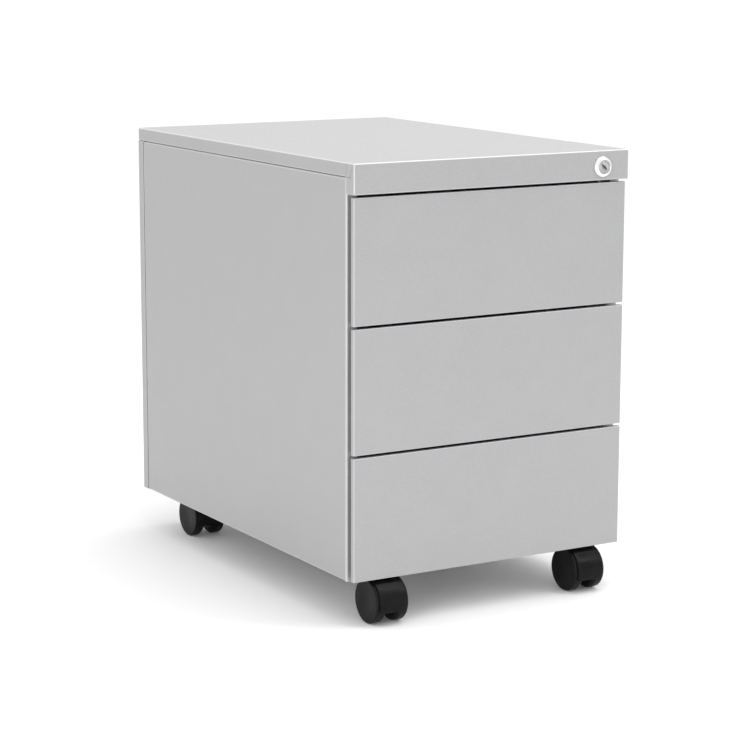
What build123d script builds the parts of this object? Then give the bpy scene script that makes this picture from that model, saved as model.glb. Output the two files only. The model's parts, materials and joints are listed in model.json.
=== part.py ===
"""Mobile steel pedestal with three drawers, a central lock and four twin-wheel casters.

Units are millimetres. +Z is up, the drawers open towards -Y, and the origin is on the floor,
under the middle of the whole object. The carcass is folded sheet, each drawer runs on a pair
of three-part ball slides, and a cam lock in the top cover lifts one bar that blocks all drawers.
"""

import math
import os

from build123d import *

os.makedirs("parts", exist_ok=True)

# ---------------------------------------------------------------- overall sizes
WIDTH = 400.0
DEPTH = 600.0  # front of the fascia to the back panel
HEIGHT = 570.0  # floor to the top of the cover
SHEET = 1.0  # sheet thickness of every folded panel
BEND = 1.0  # bend radius at the middle of the sheet
FIT_GAP = 0.5  # between two folded pieces that stand side by side

# ---------------------------------------------------------------- top cover
FASCIA_HEIGHT = 37.6
FASCIA_DEPTH = 18.4  # how far the fascia stands in front of the carcass
SKIRT_HEIGHT = 17.3
COVER_SETBACK = 1.5  # the cover ends this far in front of the back panel's face
COVER_RETURN = 12.0
COVER_CORNER = 1.5
COVER_EDGE = 1.1
SEAM_WIDTH = 0.5
SEAM_DEPTH = 0.3
SEAM_SET = 7.8  # the corner's weld seam, back from the fascia's face
MITRE_DROP = 5.0

# ---------------------------------------------------------------- carcass
FRONT_FLANGE = 16.0  # width of the front post on each side
POST_RETURN = 30.0  # the post's return, which carries the slides' front ends
POST_TOP_GAP = 40.0  # the return stops this far below the cover
EDGE_FLANGE = 10.0  # top and bottom flanges of the side panels
JOGGLE = 1.2  # the side panel steps in by this under the back panel's flange
BACK_FLANGE = 14.5
JOGGLE_START = 18.5
JOGGLE_RUN = 2.0
REAR_TAB = 12.0
PAN_UPSTAND = 11.0
PANEL_DROP = 8.5  # the side panels reach this far below the base pan, round the casters
TOP_BREAK = 0.9  # bevel of the side panels' top bend
RAIL_FLANGE = 12.0
RAIL_WINDOW = 20.0  # half width of the rail's window for the lock
UPRIGHT_GAP = 3.6  # between the slides' rear ends and the rear uprights' webs
UPRIGHT_FOOT = 15.0
UPRIGHT_FACE = 22.0
WEIGHT_GAP = 8.4  # beside the caster plates
WEIGHT_DEPTH = 40.0
WEIGHT_HEIGHT = 60.0
WEIGHT_REAR_GAP = 10.0

# ---------------------------------------------------------------- drawers
DRAWER_NAMES = ("bottom", "middle", "top")
FRONT_SETBACK = 3.4  # drawer faces lie this far behind the fascia's face
FRONT_INSET = 1.8
FRONT_GAP = 3.3  # between two fronts, and under the fascia
FRONT_LIFT = 1.5  # the lowest front ends this far above the side panels' edge
PAN_DEPTH = 6.6  # depth of the front's folded pan
FRONT_EDGE = 0.9
CORNER_SLIT = 0.6
SLIT_STOP = 2.2  # the corner slits end this far behind the face
GRIP_REACH = 20.0  # how far fingers reach in behind the front, from its side
LINER_MARGIN = 4.0
SKIN_CLEARANCE = 0.3
LINER_CLEARANCE = 0.5  # between the liner and the carcass
BOX_REAR_GAP = 72.0  # from the box's rear wall to the back panel's face
BOX_FLOOR = 20.0  # above the lower edge of the front
BOX_HEADROOM = 16.5  # the box's rim lies this far below the front's upper edge
BOX_LIP = 7.0
CATCH_DROP = 8.0  # the catch hangs this far below the rim
CATCH_SIZE = 14.0
CATCH_LEG = 20.0
CATCH_SHEET = 1.5

# ---------------------------------------------------------------- slides
SLIDE_THICK = 12.7
SLIDE_START = 3.0  # behind the front of the carcass
SLIDE_REAR_GAP = 78.6  # from the slides' rear ends to the back panel's face
SLIDE_HEIGHT = 45.0
SLIDE_SHEET = 1.2
SLIDE_LIFT = 5.0  # the slides' lower edge above the box's floor
BALL = 4.0
RACE_GAP = 0.2
WEB_GAP = 2.0  # between the cabinet member's web and the middle member's, for screw heads
FLANGE_GAP = 1.0  # the cabinet and middle members' flanges stop this far from the box's side
CAGE_SHEET = 1.0
CAGE_WIDTH = 6.4
CAGE_PITCH = 25.0
CAGE_BALLS = 6
CAGE_MARGIN = 8.0

# ---------------------------------------------------------------- lock
LOCK_SIDE = 40.0  # from the cover's right side
LOCK_DROP = 20.7  # from the cover's top
LOCK_PROUD = 4.2
HOUSING_RADIUS = 8.75
BEZEL_RIM = 4.55  # the bezel's base stands out this far round the housing
PLUG_RADIUS = 6.5
LOCK_CLEARANCE = 0.1
HOUSING_REACH = 24.0  # rear end of the housing behind the fascia's face
NUT_WALL = 2.25
NUT_THICK = 4.0
KEYWAY_LENGTH = 9.0
KEYWAY_WIDTH = 1.6
KEYWAY_DEPTH = 12.0
KEYWAY_TILT = 37.0  # degrees from upright, the upper end towards the left
KEYWAY_STEP = 1.1
TAIL = 5.0
CAM_SHEET = 2.0
CAM_RADIUS = 8.0  # from the lock's axis to the cam's pin
CAM_START = -45.0  # degrees, the pin's angle at rest
CAM_TURN = 90.0
PIN_RADIUS = 2.0
PIN_LENGTH = 6.5
PIN_PLAY = 0.5
BAR_SHEET = 2.0
BAR_WIDTH = 10.0
BAR_GAP = 2.5  # between the cam's face and the bar
HOOK_GAP = 2.5  # between the hooks' tips and the drawer boxes
HOOK_HEIGHT = 10.0
HOOK_PLAY = 1.5
CATCH_PLAY = 3.0
GUIDE_HEIGHT = 12.0
GUIDE_PLAY = 0.35
GUIDE_WALL = 2.2

# ---------------------------------------------------------------- casters
CASTER_SIDE = 52.0  # swivel axis, in from the side of the cabinet
CASTER_FRONT = 41.5  # front swivel axes, back from the fascia's face
CASTER_REAR = 60.2  # rear swivel axes, forward from the back panel's face
TRAIL = 20.0
WHEEL_RADIUS = 28.0
WHEEL_PITCH = 29.0  # between the middles of the two treads
WHEEL_WIDTH = 16.0
TREAD_ROUND = 2.2
WHEEL_SHOULDER = 5.0  # rounding of the tread's inner edge
WHEEL_DISH = 1.4
HUB_RADIUS = 8.0
RIM_THICK = 4.5
WEB_THICK = 4.0
AXLE_RADIUS = 3.0
AXLE_CLEARANCE = 0.15
AXLE_CAP = 2.0
HOOD_GAP = 1.0
HOOD_WALL = 1.5
HOOD_SIDE = 3.4  # the hood stops this far inside the wheels' outer faces
HOOD_DROP = 20.0  # degrees that the hood reaches below the axle in front
HOOD_REAR = 178.0  # degrees, from the axle's level in front to its end behind the wheels
SPINE_GAP = 1.3  # between a wheel's inner face and the hood's middle wall
SPINE_DROP = 8.0  # the middle wall reaches this far below the axle
BOSS_RADIUS = 13.0
BOSS_GAP = 0.4
BOSS_HEIGHT = 28.0
PLATE_SIZE = 40.0
PLATE_THICK = 2.5
PLATE_HOLES = 29.0
SWIVEL_RADIUS = 4.0
SWIVEL_CLEARANCE = 0.15
SWIVEL_LENGTH = 21.0
CASTER_ROOM = 2.2  # between the hoods' tops and the screw heads above them

# ---------------------------------------------------------------- screws
SCREW_RADIUS = 2.0
SCREW_HEAD = 3.6
SCREW_HEAD_THICK = 1.6
SCREW_REACH = 3.5
SCREW_CLEARANCE = 0.1
SCREW_SET = 9.0  # in from the free edges of the post's return and the upright
FRONT_SCREW = 2.5
FRONT_SCREW_HEAD = 4.5
FRONT_SCREW_HEAD_THICK = 2.4
FRONT_SCREW_SIDE = 70.0  # in from the cabinet's side
FRONT_SCREW_SET = 22.0  # in from the box's floor and rim
CASTER_SCREW = 2.5
CASTER_HEX = 8.0
CASTER_HEX_THICK = 2.8
CROSS_WIDTH = 0.9
CROSS_DEPTH = 0.8

# ---------------------------------------------------------------- places that follow from these
HALF = WIDTH / 2
HOOD_RADIUS = WHEEL_RADIUS + HOOD_GAP + HOOD_WALL
OVERHANG = max(LOCK_PROUD, HOOD_RADIUS + TRAIL - CASTER_FRONT)  # furthest point before the fascia
FRONT = -(DEPTH - OVERHANG) / 2  # the fascia's face
BACK = FRONT + DEPTH
BODY_FRONT = FRONT + FASCIA_DEPTH
COVER_BOTTOM = HEIGHT - SKIRT_HEIGHT
FASCIA_BOTTOM = HEIGHT - FASCIA_HEIGHT
COVER_BACK = BACK - COVER_SETBACK
PLATE_BOTTOM = WHEEL_RADIUS + HOOD_RADIUS + CASTER_ROOM + CASTER_HEX_THICK
PAN_BOTTOM = PLATE_BOTTOM + PLATE_THICK  # underside of the base pan, above the caster plates
PANEL_BOTTOM = PAN_BOTTOM - PANEL_DROP  # lower edge of the side panels
PAN_HALF = HALF - SHEET - JOGGLE - FIT_GAP
POST_FACE = HALF - FRONT_FLANGE  # inner face of the posts, where the slides are screwed on
RETURN_BOTTOM = PAN_BOTTOM + SHEET + FIT_GAP
RETURN_TOP = COVER_BOTTOM - POST_TOP_GAP
REAR_LINE = BACK - SHEET - FIT_GAP - SHEET / 2  # middle of the side panels' rear tabs
FRONT_HEIGHT = (FASCIA_BOTTOM - PANEL_BOTTOM - FRONT_LIFT - 3 * FRONT_GAP) / 3
FRONT_HALF = HALF - FRONT_INSET
FRONT_FACE = FRONT + FRONT_SETBACK
FRONT_REAR = FRONT_FACE + PAN_DEPTH
DRAWER_PITCH = FRONT_HEIGHT + FRONT_GAP
DRAWER_LINES = [PANEL_BOTTOM + FRONT_LIFT + n * DRAWER_PITCH for n in range(3)]
LINER_REAR = BODY_FRONT - LINER_CLEARANCE
SLIDE_FRONT = BODY_FRONT + SLIDE_START
SLIDE_BACK = BACK - SLIDE_REAR_GAP
SLIDE_LINE = BOX_FLOOR + SLIDE_LIFT + SLIDE_HEIGHT / 2  # their middle, above the front's edge
UPRIGHT_WEB = SLIDE_BACK + UPRIGHT_GAP
BOX_HALF = POST_FACE - SLIDE_THICK
BOX_BACK = BACK - BOX_REAR_GAP
BOX_RIM = FRONT_HEIGHT - BOX_HEADROOM  # above the front's lower edge
CATCH_HEIGHT = BOX_RIM - CATCH_DROP - CATCH_SIZE  # the catch's lower edge, measured the same way
LOCK_X = HALF - LOCK_SIDE
LOCK_Z = HEIGHT - LOCK_DROP
BEZEL_RADIUS = HOUSING_RADIUS + BEZEL_RIM
CAM_Y = FRONT + HOUSING_REACH + FIT_GAP
BAR_Y = CAM_Y + CAM_SHEET + BAR_GAP
BAR_LIFT = CAM_RADIUS * 2 * math.sin(math.radians(CAM_TURN / 2))
BAR_OUTER = HALF - SHEET - GUIDE_WALL
BAR_INNER = BAR_OUTER - BAR_WIDTH
CATCH_Y = BAR_Y + BAR_SHEET + CATCH_PLAY
SCREW_FRONT_Y = BODY_FRONT + POST_RETURN - SCREW_SET
SCREW_REAR_Y = UPRIGHT_WEB - UPRIGHT_FACE + SCREW_SET
CASTERS = {
    "front_left": (-(HALF - CASTER_SIDE), FRONT + CASTER_FRONT),
    "front_right": (HALF - CASTER_SIDE, FRONT + CASTER_FRONT),
    "rear_left": (-(HALF - CASTER_SIDE), BACK - CASTER_REAR),
    "rear_right": (HALF - CASTER_SIDE, BACK - CASTER_REAR),
}


def save(piece, name):
    """Labels one finished piece and writes it to its own file."""
    piece.label = name
    export_step(piece, f"parts/{name}.step")


def block(x0, x1, y0, y1, z0, z1, mode=Mode.ADD):
    """A plain rectangular block between two corners, added to or cut from the open part."""
    middle = ((x0 + x1) / 2, (y0 + y1) / 2, (z0 + z1) / 2)
    with Locations(middle):
        Box(abs(x1 - x0), abs(y1 - y0), abs(z1 - z0), mode=mode)


# ================================================================ carcass
def slide_screw_places(side):
    """Where the cabinet members are screwed to the post and to the rear upright."""
    return [
        (side * POST_FACE, y, line + SLIDE_LINE)
        for line in DRAWER_LINES
        for y in (SCREW_FRONT_Y, SCREW_REAR_Y)
    ]


def cover_screw_places():
    """Where the side panels' top flanges are screwed to the cover."""
    spread = COVER_BACK - BODY_FRONT
    return [
        (side * (HALF - SHEET - EDGE_FLANGE / 2), BODY_FRONT + share * spread, COVER_BOTTOM)
        for side in (-1, 1)
        for share in (0.2, 0.5, 0.8)
    ]


def across(side):
    """The plane of the post's inner face, looking out of the cabinet on that side."""
    return Plane(origin=(side * POST_FACE, 0, 0), x_dir=(0, 1, 0), z_dir=(side, 0, 0))


def side_panel(side):
    """Folded side: front post with its return, rear step for the back panel, edge flanges."""
    outer = HALF - SHEET / 2
    with BuildPart() as panel:
        with BuildSketch(Plane.XY.offset(PANEL_BOTTOM)):
            with BuildLine():
                FilletPolyline(
                    (side * (outer - JOGGLE - REAR_TAB), REAR_LINE),
                    (side * (outer - JOGGLE), REAR_LINE),
                    (side * (outer - JOGGLE), BACK - JOGGLE_START + JOGGLE_RUN),
                    (side * outer, BACK - JOGGLE_START),
                    (side * outer, BODY_FRONT + SHEET / 2),
                    (side * (POST_FACE + SHEET / 2), BODY_FRONT + SHEET / 2),
                    (side * (POST_FACE + SHEET / 2), BODY_FRONT + POST_RETURN),
                    radius=BEND,
                )
            trace(line_width=SHEET)
        extrude(amount=COVER_BOTTOM - PANEL_BOTTOM)
        inner = HALF - SHEET - EDGE_FLANGE
        flange_front = BODY_FRONT + SHEET
        flange_rear = BACK - JOGGLE_START
        for low in (PANEL_BOTTOM, COVER_BOTTOM - SHEET):
            block(
                side * inner,
                side * (HALF - SHEET / 2),
                flange_front,
                flange_rear,
                low,
                low + SHEET,
            )
        # The return stands on the base pan and stops below the lock's works.
        beyond = BODY_FRONT + POST_RETURN + SHEET
        for low, high in (
            (PANEL_BOTTOM - SHEET, RETURN_BOTTOM),
            (RETURN_TOP, COVER_BOTTOM + SHEET),
        ):
            block(
                side * (POST_FACE - SHEET),
                side * (POST_FACE + 2 * SHEET),
                BODY_FRONT + 2 * SHEET,
                beyond,
                low,
                high,
                mode=Mode.SUBTRACT,
            )
        # The top bend, as a small bevel all along the outer edge.
        with BuildSketch(Plane.XZ.offset(-BACK)):
            with BuildLine():
                Polyline(
                    (side * (HALF - TOP_BREAK), COVER_BOTTOM),
                    (side * (HALF + SHEET), COVER_BOTTOM + SHEET),
                    (side * HALF, COVER_BOTTOM - TOP_BREAK),
                    close=True,
                )
            make_face()
        extrude(amount=DEPTH, mode=Mode.SUBTRACT)
        # Holes for the slides' front screws and for the cover's screws.
        for place in slide_screw_places(side):
            with Locations(Location(place, (0, 90, 0))):
                Cylinder(
                    SCREW_RADIUS + SCREW_CLEARANCE, 4 * SHEET, mode=Mode.SUBTRACT
                )
        for place in cover_screw_places():
            with Locations(place):
                Cylinder(
                    SCREW_RADIUS + SCREW_CLEARANCE, 4 * SHEET, mode=Mode.SUBTRACT
                )
        if side > 0:
            for line in DRAWER_LINES:
                hook = line + CATCH_HEIGHT - HOOK_PLAY - HOOK_HEIGHT
                block(
                    POST_FACE - SHEET,
                    POST_FACE + 2 * SHEET,
                    BAR_Y - BAR_GAP,
                    BAR_Y + BAR_SHEET + BAR_GAP,
                    hook - HOOK_PLAY,
                    hook + HOOK_HEIGHT + BAR_LIFT + HOOK_PLAY,
                    mode=Mode.SUBTRACT,
                )
    return panel.part


save(side_panel(-1), "left_side_panel")
save(side_panel(1), "right_side_panel")

with BuildPart() as back_panel:
    edge = HALF - SHEET / 2
    with BuildSketch(Plane.XY.offset(PANEL_BOTTOM)):
        with BuildLine():
            FilletPolyline(
                (-edge, BACK - BACK_FLANGE),
                (-edge, BACK - SHEET / 2),
                (edge, BACK - SHEET / 2),
                (edge, BACK - BACK_FLANGE),
                radius=BEND,
            )
        trace(line_width=SHEET)
    extrude(amount=COVER_BOTTOM - FIT_GAP - PANEL_BOTTOM)
save(back_panel.part, "back_panel")

with BuildPart() as base_pan:
    with BuildSketch(Plane.YZ.offset(-PAN_HALF)):
        with BuildLine():
            rear = REAR_LINE - SHEET - FIT_GAP
            FilletPolyline(
                (BODY_FRONT + SHEET / 2, PAN_BOTTOM + PAN_UPSTAND),
                (BODY_FRONT + SHEET / 2, PAN_BOTTOM + SHEET / 2),
                (rear, PAN_BOTTOM + SHEET / 2),
                (rear, PAN_BOTTOM + PAN_UPSTAND),
                radius=BEND,
            )
        trace(line_width=SHEET)
    extrude(amount=2 * PAN_HALF)
    for side in (-1, 1):
        block(
            side * (POST_FACE - FIT_GAP),
            side * HALF,
            BODY_FRONT - SHEET,
            BODY_FRONT + SHEET + BEND,
            PANEL_BOTTOM,
            PAN_BOTTOM + 2 * PAN_UPSTAND,
            mode=Mode.SUBTRACT,
        )
        # A side is folded down, and stands on the side panel's lower flange.
        block(
            side * (PAN_HALF - SHEET),
            side * PAN_HALF,
            BODY_FRONT + POST_RETURN,
            rear - POST_RETURN,
            PANEL_BOTTOM + SHEET,
            PAN_BOTTOM + SHEET / 2,
        )
    for place in CASTERS.values():
        with Locations((*place, PAN_BOTTOM)):
            with GridLocations(PLATE_HOLES, PLATE_HOLES, 2, 2):
                Cylinder(
                    CASTER_SCREW + SCREW_CLEARANCE, 4 * SHEET, mode=Mode.SUBTRACT
                )
save(base_pan.part, "base_pan")

with BuildPart() as front_top_rail:
    rail_half = POST_FACE - FIT_GAP
    with BuildSketch(Plane.YZ.offset(-rail_half)):
        with BuildLine():
            FilletPolyline(
                (BODY_FRONT + RAIL_FLANGE, FASCIA_BOTTOM + SHEET / 2),
                (BODY_FRONT + SHEET / 2, FASCIA_BOTTOM + SHEET / 2),
                (BODY_FRONT + SHEET / 2, COVER_BOTTOM - SHEET / 2),
                (BODY_FRONT + RAIL_FLANGE, COVER_BOTTOM - SHEET / 2),
                radius=BEND,
            )
        trace(line_width=SHEET)
    extrude(amount=2 * rail_half)
    block(
        LOCK_X - RAIL_WINDOW,
        HALF,
        BODY_FRONT - SHEET,
        BODY_FRONT + 2 * RAIL_FLANGE,
        FASCIA_BOTTOM + 2 * SHEET,
        HEIGHT,
        mode=Mode.SUBTRACT,
    )
    block(
        POST_FACE - FRONT_FLANGE,
        HALF,
        BODY_FRONT + 2 * SHEET,
        BODY_FRONT + 2 * RAIL_FLANGE,
        FASCIA_BOTTOM - SHEET,
        HEIGHT,
        mode=Mode.SUBTRACT,
    )
save(front_top_rail.part, "front_top_rail")

with BuildPart() as rear_uprights:
    foot = HALF - SHEET * 1.5
    web = UPRIGHT_WEB
    for side in (-1, 1):
        with BuildSketch(Plane.XY.offset(RETURN_BOTTOM)):
            with BuildLine():
                FilletPolyline(
                    (side * foot, web + UPRIGHT_FOOT),
                    (side * foot, web),
                    (side * (POST_FACE + SHEET / 2), web),
                    (side * (POST_FACE + SHEET / 2), web - UPRIGHT_FACE),
                    radius=BEND,
                )
            trace(line_width=SHEET)
        extrude(amount=COVER_BOTTOM - SHEET - FIT_GAP - RETURN_BOTTOM)
        for place in slide_screw_places(side):
            with Locations(Location(place, (0, 90, 0))):
                Cylinder(
                    SCREW_RADIUS + SCREW_CLEARANCE, 4 * SHEET, mode=Mode.SUBTRACT
                )
save(rear_uprights.part, "rear_uprights")

with BuildPart() as counterweight:
    weight_back = REAR_LINE - WEIGHT_REAR_GAP
    weight_low = PAN_BOTTOM + SHEET
    weight_half = HALF - CASTER_SIDE - PLATE_SIZE / 2 - WEIGHT_GAP
    block(
        -weight_half,
        weight_half,
        weight_back - WEIGHT_DEPTH,
        weight_back,
        weight_low,
        weight_low + WEIGHT_HEIGHT,
    )
    chamfer(counterweight.edges().group_by(Axis.Z)[-1], length=SHEET * 2)
save(counterweight.part, "counterweight")

# ================================================================ top cover
with BuildPart() as top_cover:
    block(-HALF, HALF, FRONT, COVER_BACK, COVER_BOTTOM, HEIGHT)
    block(-HALF, HALF, FRONT, BODY_FRONT, FASCIA_BOTTOM, HEIGHT)
    uprights = top_cover.edges().filter_by(Axis.Z).sort_by(Axis.Y)
    fillet(uprights[:2] + uprights[-2:], radius=COVER_CORNER)
    fillet(top_cover.faces().sort_by(Axis.Z)[-1].edges(), radius=COVER_EDGE)
    fascia_underside = top_cover.faces().sort_by(Axis.Z)[0]
    fillet(
        fascia_underside.edges().filter_by(Axis.X).sort_by(Axis.Y)[0], radius=COVER_EDGE
    )
    # Hollow inside, with a return all round underneath.
    inside = HALF - SHEET
    block(
        -inside,
        inside,
        FRONT + SHEET,
        COVER_BACK - SHEET,
        COVER_BOTTOM + SHEET,
        HEIGHT - SHEET,
        mode=Mode.SUBTRACT,
    )
    block(
        -inside,
        inside,
        FRONT + SHEET,
        BODY_FRONT,
        FASCIA_BOTTOM + SHEET,
        COVER_BOTTOM + 2 * SHEET,
        mode=Mode.SUBTRACT,
    )
    block(
        -(inside - COVER_RETURN),
        inside - COVER_RETURN,
        BODY_FRONT - SHEET,
        COVER_BACK - SHEET - COVER_RETURN,
        COVER_BOTTOM - SHEET,
        COVER_BOTTOM + 2 * SHEET,
        mode=Mode.SUBTRACT,
    )
    # The weld seams of the front corners: down from the top edge, then back under the skirt.
    for side in (-1, 1):
        seam = (side * (HALF - SEAM_DEPTH), side * (HALF + SEAM_DEPTH))
        with BuildSketch(Plane.YZ.offset(side * HALF - SEAM_DEPTH)):
            with BuildLine():
                Polyline(
                    (FRONT + SEAM_DEPTH, HEIGHT - COVER_EDGE - MITRE_DROP),
                    (FRONT + SEAM_SET, HEIGHT - COVER_EDGE - 2 * MITRE_DROP),
                    (FRONT + SEAM_SET, COVER_BOTTOM),
                    (BODY_FRONT - SEAM_WIDTH / 2, COVER_BOTTOM),
                    (BODY_FRONT - SEAM_WIDTH / 2, HEIGHT - COVER_EDGE - SEAM_WIDTH),
                )
            trace(line_width=SEAM_WIDTH)
        extrude(amount=2 * SEAM_DEPTH, mode=Mode.SUBTRACT)
    with Locations(Location((LOCK_X, FRONT, LOCK_Z), (90, 0, 0))):
        Cylinder(HOUSING_RADIUS + LOCK_CLEARANCE, 4 * SHEET, mode=Mode.SUBTRACT)
    for place in cover_screw_places():
        with Locations(place):
            Cylinder(SCREW_RADIUS + SCREW_CLEARANCE, 4 * SHEET, mode=Mode.SUBTRACT)
save(top_cover.part, "top_cover")


# ================================================================ slides
def channel(side, web_x, tip_x, half_height, sheet, mouth, y0, y1):
    """A C-shaped rail along Y: its web at web_x, its flanges reaching to tip_x."""
    inner_web = web_x + mouth * sheet
    block(side * web_x, side * inner_web, y0, y1, -half_height, half_height)
    for low in (-half_height, half_height - sheet):
        block(side * web_x, side * tip_x, y0, y1, low, low + sheet)


OUTER_HALF = SLIDE_HEIGHT / 2
RACE_STEP = SLIDE_SHEET + BALL + 2 * RACE_GAP
MIDDLE_HALF = OUTER_HALF - RACE_STEP
INNER_HALF = MIDDLE_HALF - RACE_STEP
MIDDLE_WEB = POST_FACE - SLIDE_SHEET - WEB_GAP


def placed(section, line):
    """The section, which is drawn about height 0, moved up to a drawer's slide line."""
    return section.moved(Location((0, 0, line + SLIDE_LINE)))


def cabinet_members(side):
    """The three members screwed to the carcass on one side, one for each drawer."""
    with BuildPart() as member:
        tip = BOX_HALF + FLANGE_GAP
        channel(
            side,
            POST_FACE,
            tip,
            OUTER_HALF,
            SLIDE_SHEET,
            -1,
            SLIDE_FRONT,
            SLIDE_BACK,
        )
        for y in (SCREW_FRONT_Y, SCREW_REAR_Y):
            with Locations(Location((side * POST_FACE, y, 0), (0, 90, 0))):
                Cylinder(
                    SCREW_RADIUS + SCREW_CLEARANCE, 4 * SHEET, mode=Mode.SUBTRACT
                )
        # A stop folded into the rear end.
        block(
            side * POST_FACE,
            side * (tip + WEB_GAP),
            SLIDE_BACK,
            SLIDE_BACK + SLIDE_SHEET,
            -MIDDLE_HALF,
            MIDDLE_HALF,
        )
    return Compound([placed(member.part, line) for line in DRAWER_LINES])


save(cabinet_members(-1), "left_cabinet_slides")
save(cabinet_members(1), "right_cabinet_slides")


def middle_members(line):
    """The pair of middle members that one drawer's slides telescope on."""
    with BuildPart() as pair:
        for side in (-1, 1):
            channel(
                side,
                MIDDLE_WEB,
                BOX_HALF + FLANGE_GAP,
                MIDDLE_HALF,
                SLIDE_SHEET,
                -1,
                SLIDE_FRONT,
                SLIDE_BACK - FIT_GAP,
            )
    return placed(pair.part, line)


def drawer_members(line):
    """The pair of inner members riveted to one drawer's sides."""
    with BuildPart() as pair:
        for side in (-1, 1):
            channel(
                side,
                BOX_HALF,
                MIDDLE_WEB - SLIDE_SHEET - FLANGE_GAP,
                INNER_HALF,
                SLIDE_SHEET,
                1,
                SLIDE_FRONT,
                SLIDE_BACK - FIT_GAP,
            )
    return placed(pair.part, line)


def ball_cages(line, half_height, middle_x):
    """Four ball strips: above and below, left and right, each with its row of balls."""
    middle_y = (SLIDE_FRONT + SLIDE_BACK) / 2
    strip_length = (CAGE_BALLS - 1) * CAGE_PITCH + 2 * CAGE_MARGIN
    centre = half_height - SLIDE_SHEET - RACE_GAP - BALL / 2
    with BuildPart() as cages:
        for side in (-1, 1):
            for level in (-centre, centre):
                with Locations((side * middle_x, middle_y, level)):
                    Box(CAGE_WIDTH, strip_length, CAGE_SHEET)
                    with GridLocations(1, CAGE_PITCH, 1, CAGE_BALLS):
                        Cylinder(
                            BALL / 2 + RACE_GAP, 2 * CAGE_SHEET, mode=Mode.SUBTRACT
                        )
                        Sphere(BALL / 2)
    return placed(cages.part, line)


OUTER_RACE_X = (MIDDLE_WEB + BOX_HALF + FLANGE_GAP) / 2
INNER_RACE_X = (BOX_HALF + SLIDE_SHEET + MIDDLE_WEB - SLIDE_SHEET) / 2


# ================================================================ drawers
def front_screw_places(line):
    """Where the box and the liner are screwed together."""
    across = HALF - FRONT_SCREW_SIDE
    low = line + BOX_FLOOR + FRONT_SCREW_SET
    high = line + BOX_RIM - FRONT_SCREW_SET
    return [(x, z) for x in (-across, across) for z in (low, high)]


def front_skin(line):
    """The folded pan that shows as the drawer's face, with open slits at its corners."""
    top = line + FRONT_HEIGHT
    with BuildPart() as skin:
        block(-FRONT_HALF, FRONT_HALF, FRONT_FACE, FRONT_REAR, line, top)
        fillet(skin.edges().filter_by(Axis.Y), radius=FRONT_EDGE * 1.5)
        fillet(skin.faces().sort_by(Axis.Y)[0].edges(), radius=FRONT_EDGE)
        block(
            -FRONT_HALF + SHEET,
            FRONT_HALF - SHEET,
            FRONT_FACE + SHEET,
            FRONT_REAR + SHEET,
            line + SHEET,
            top - SHEET,
            mode=Mode.SUBTRACT,
        )
        for x, turn in ((-FRONT_HALF, 45), (FRONT_HALF, -45)):
            for z, flip in ((line, 1), (top, -1)):
                place = (x, FRONT_FACE + SLIT_STOP + PAN_DEPTH / 2, z)
                with Locations(Location(place, (0, turn * flip, 0))):
                    Box(CORNER_SLIT, PAN_DEPTH, 6 * SHEET, mode=Mode.SUBTRACT)
    return skin.part


def front_liner(line):
    """The inner pressing: closes the skin's back and stands off to the box, clear of fingers."""
    low = line + LINER_MARGIN
    high = line + FRONT_HEIGHT - LINER_MARGIN
    reach = HALF - GRIP_REACH
    edge = SHEET + SKIN_CLEARANCE
    with BuildPart() as liner:
        block(
            -FRONT_HALF + edge,
            FRONT_HALF - edge,
            FRONT_REAR - SHEET,
            FRONT_REAR,
            line + edge,
            line + FRONT_HEIGHT - edge,
        )
        block(-reach, reach, FRONT_REAR - SHEET, LINER_REAR, low, high)
        fillet(liner.faces().sort_by(Axis.Y)[-1].edges(), radius=BEND)
        block(
            -reach + SHEET,
            reach - SHEET,
            FRONT_REAR - 2 * SHEET,
            LINER_REAR - SHEET,
            low + SHEET,
            high - SHEET,
            mode=Mode.SUBTRACT,
        )
        for x, z in front_screw_places(line):
            with Locations(Location((x, LINER_REAR, z), (90, 0, 0))):
                Cylinder(FRONT_SCREW + SCREW_CLEARANCE, 4 * SHEET, mode=Mode.SUBTRACT)
    return liner.part


def drawer_box(line):
    """The open box: floor and sides with rolled-out lips, two walls, and the lock catch."""
    floor = line + BOX_FLOOR
    rim = line + BOX_RIM
    with BuildPart() as box:
        block(-BOX_HALF, BOX_HALF, LINER_REAR, BOX_BACK, floor, rim)
        fillet(
            box.faces().sort_by(Axis.Z)[0].edges().filter_by(Axis.Y), radius=1.5 * BEND
        )
        block(
            -BOX_HALF + SHEET,
            BOX_HALF - SHEET,
            LINER_REAR - SHEET,
            BOX_BACK + SHEET,
            floor + SHEET,
            rim + SHEET,
            mode=Mode.SUBTRACT,
        )
        for side in (-1, 1):
            block(
                side * (BOX_HALF - SHEET / 2),
                side * (BOX_HALF + BOX_LIP),
                CATCH_Y + CATCH_LEG,
                BOX_BACK,
                rim - SHEET,
                rim,
            )
            block(
                side * (BOX_HALF + BOX_LIP - SHEET),
                side * (BOX_HALF + BOX_LIP),
                CATCH_Y + CATCH_LEG,
                BOX_BACK,
                rim - 4 * SHEET,
                rim - SHEET / 2,
            )
    pieces = [box, box_wall(line, LINER_REAR), box_wall(line, BOX_BACK - SHEET), lock_catch(line)]
    return Compound([piece.part.solid() for piece in pieces])


def box_wall(line, y):
    """The box's front or rear wall, welded in between its sides; the screws pass the front one."""
    with BuildPart() as wall:
        block(
            -BOX_HALF + SHEET,
            BOX_HALF - SHEET,
            y,
            y + SHEET,
            line + BOX_FLOOR + SHEET,
            line + BOX_RIM,
        )
        for x, z in front_screw_places(line):
            with Locations(Location((x, LINER_REAR, z), (90, 0, 0))):
                Cylinder(FRONT_SCREW + SCREW_CLEARANCE, 4 * SHEET, mode=Mode.SUBTRACT)
    return wall


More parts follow.
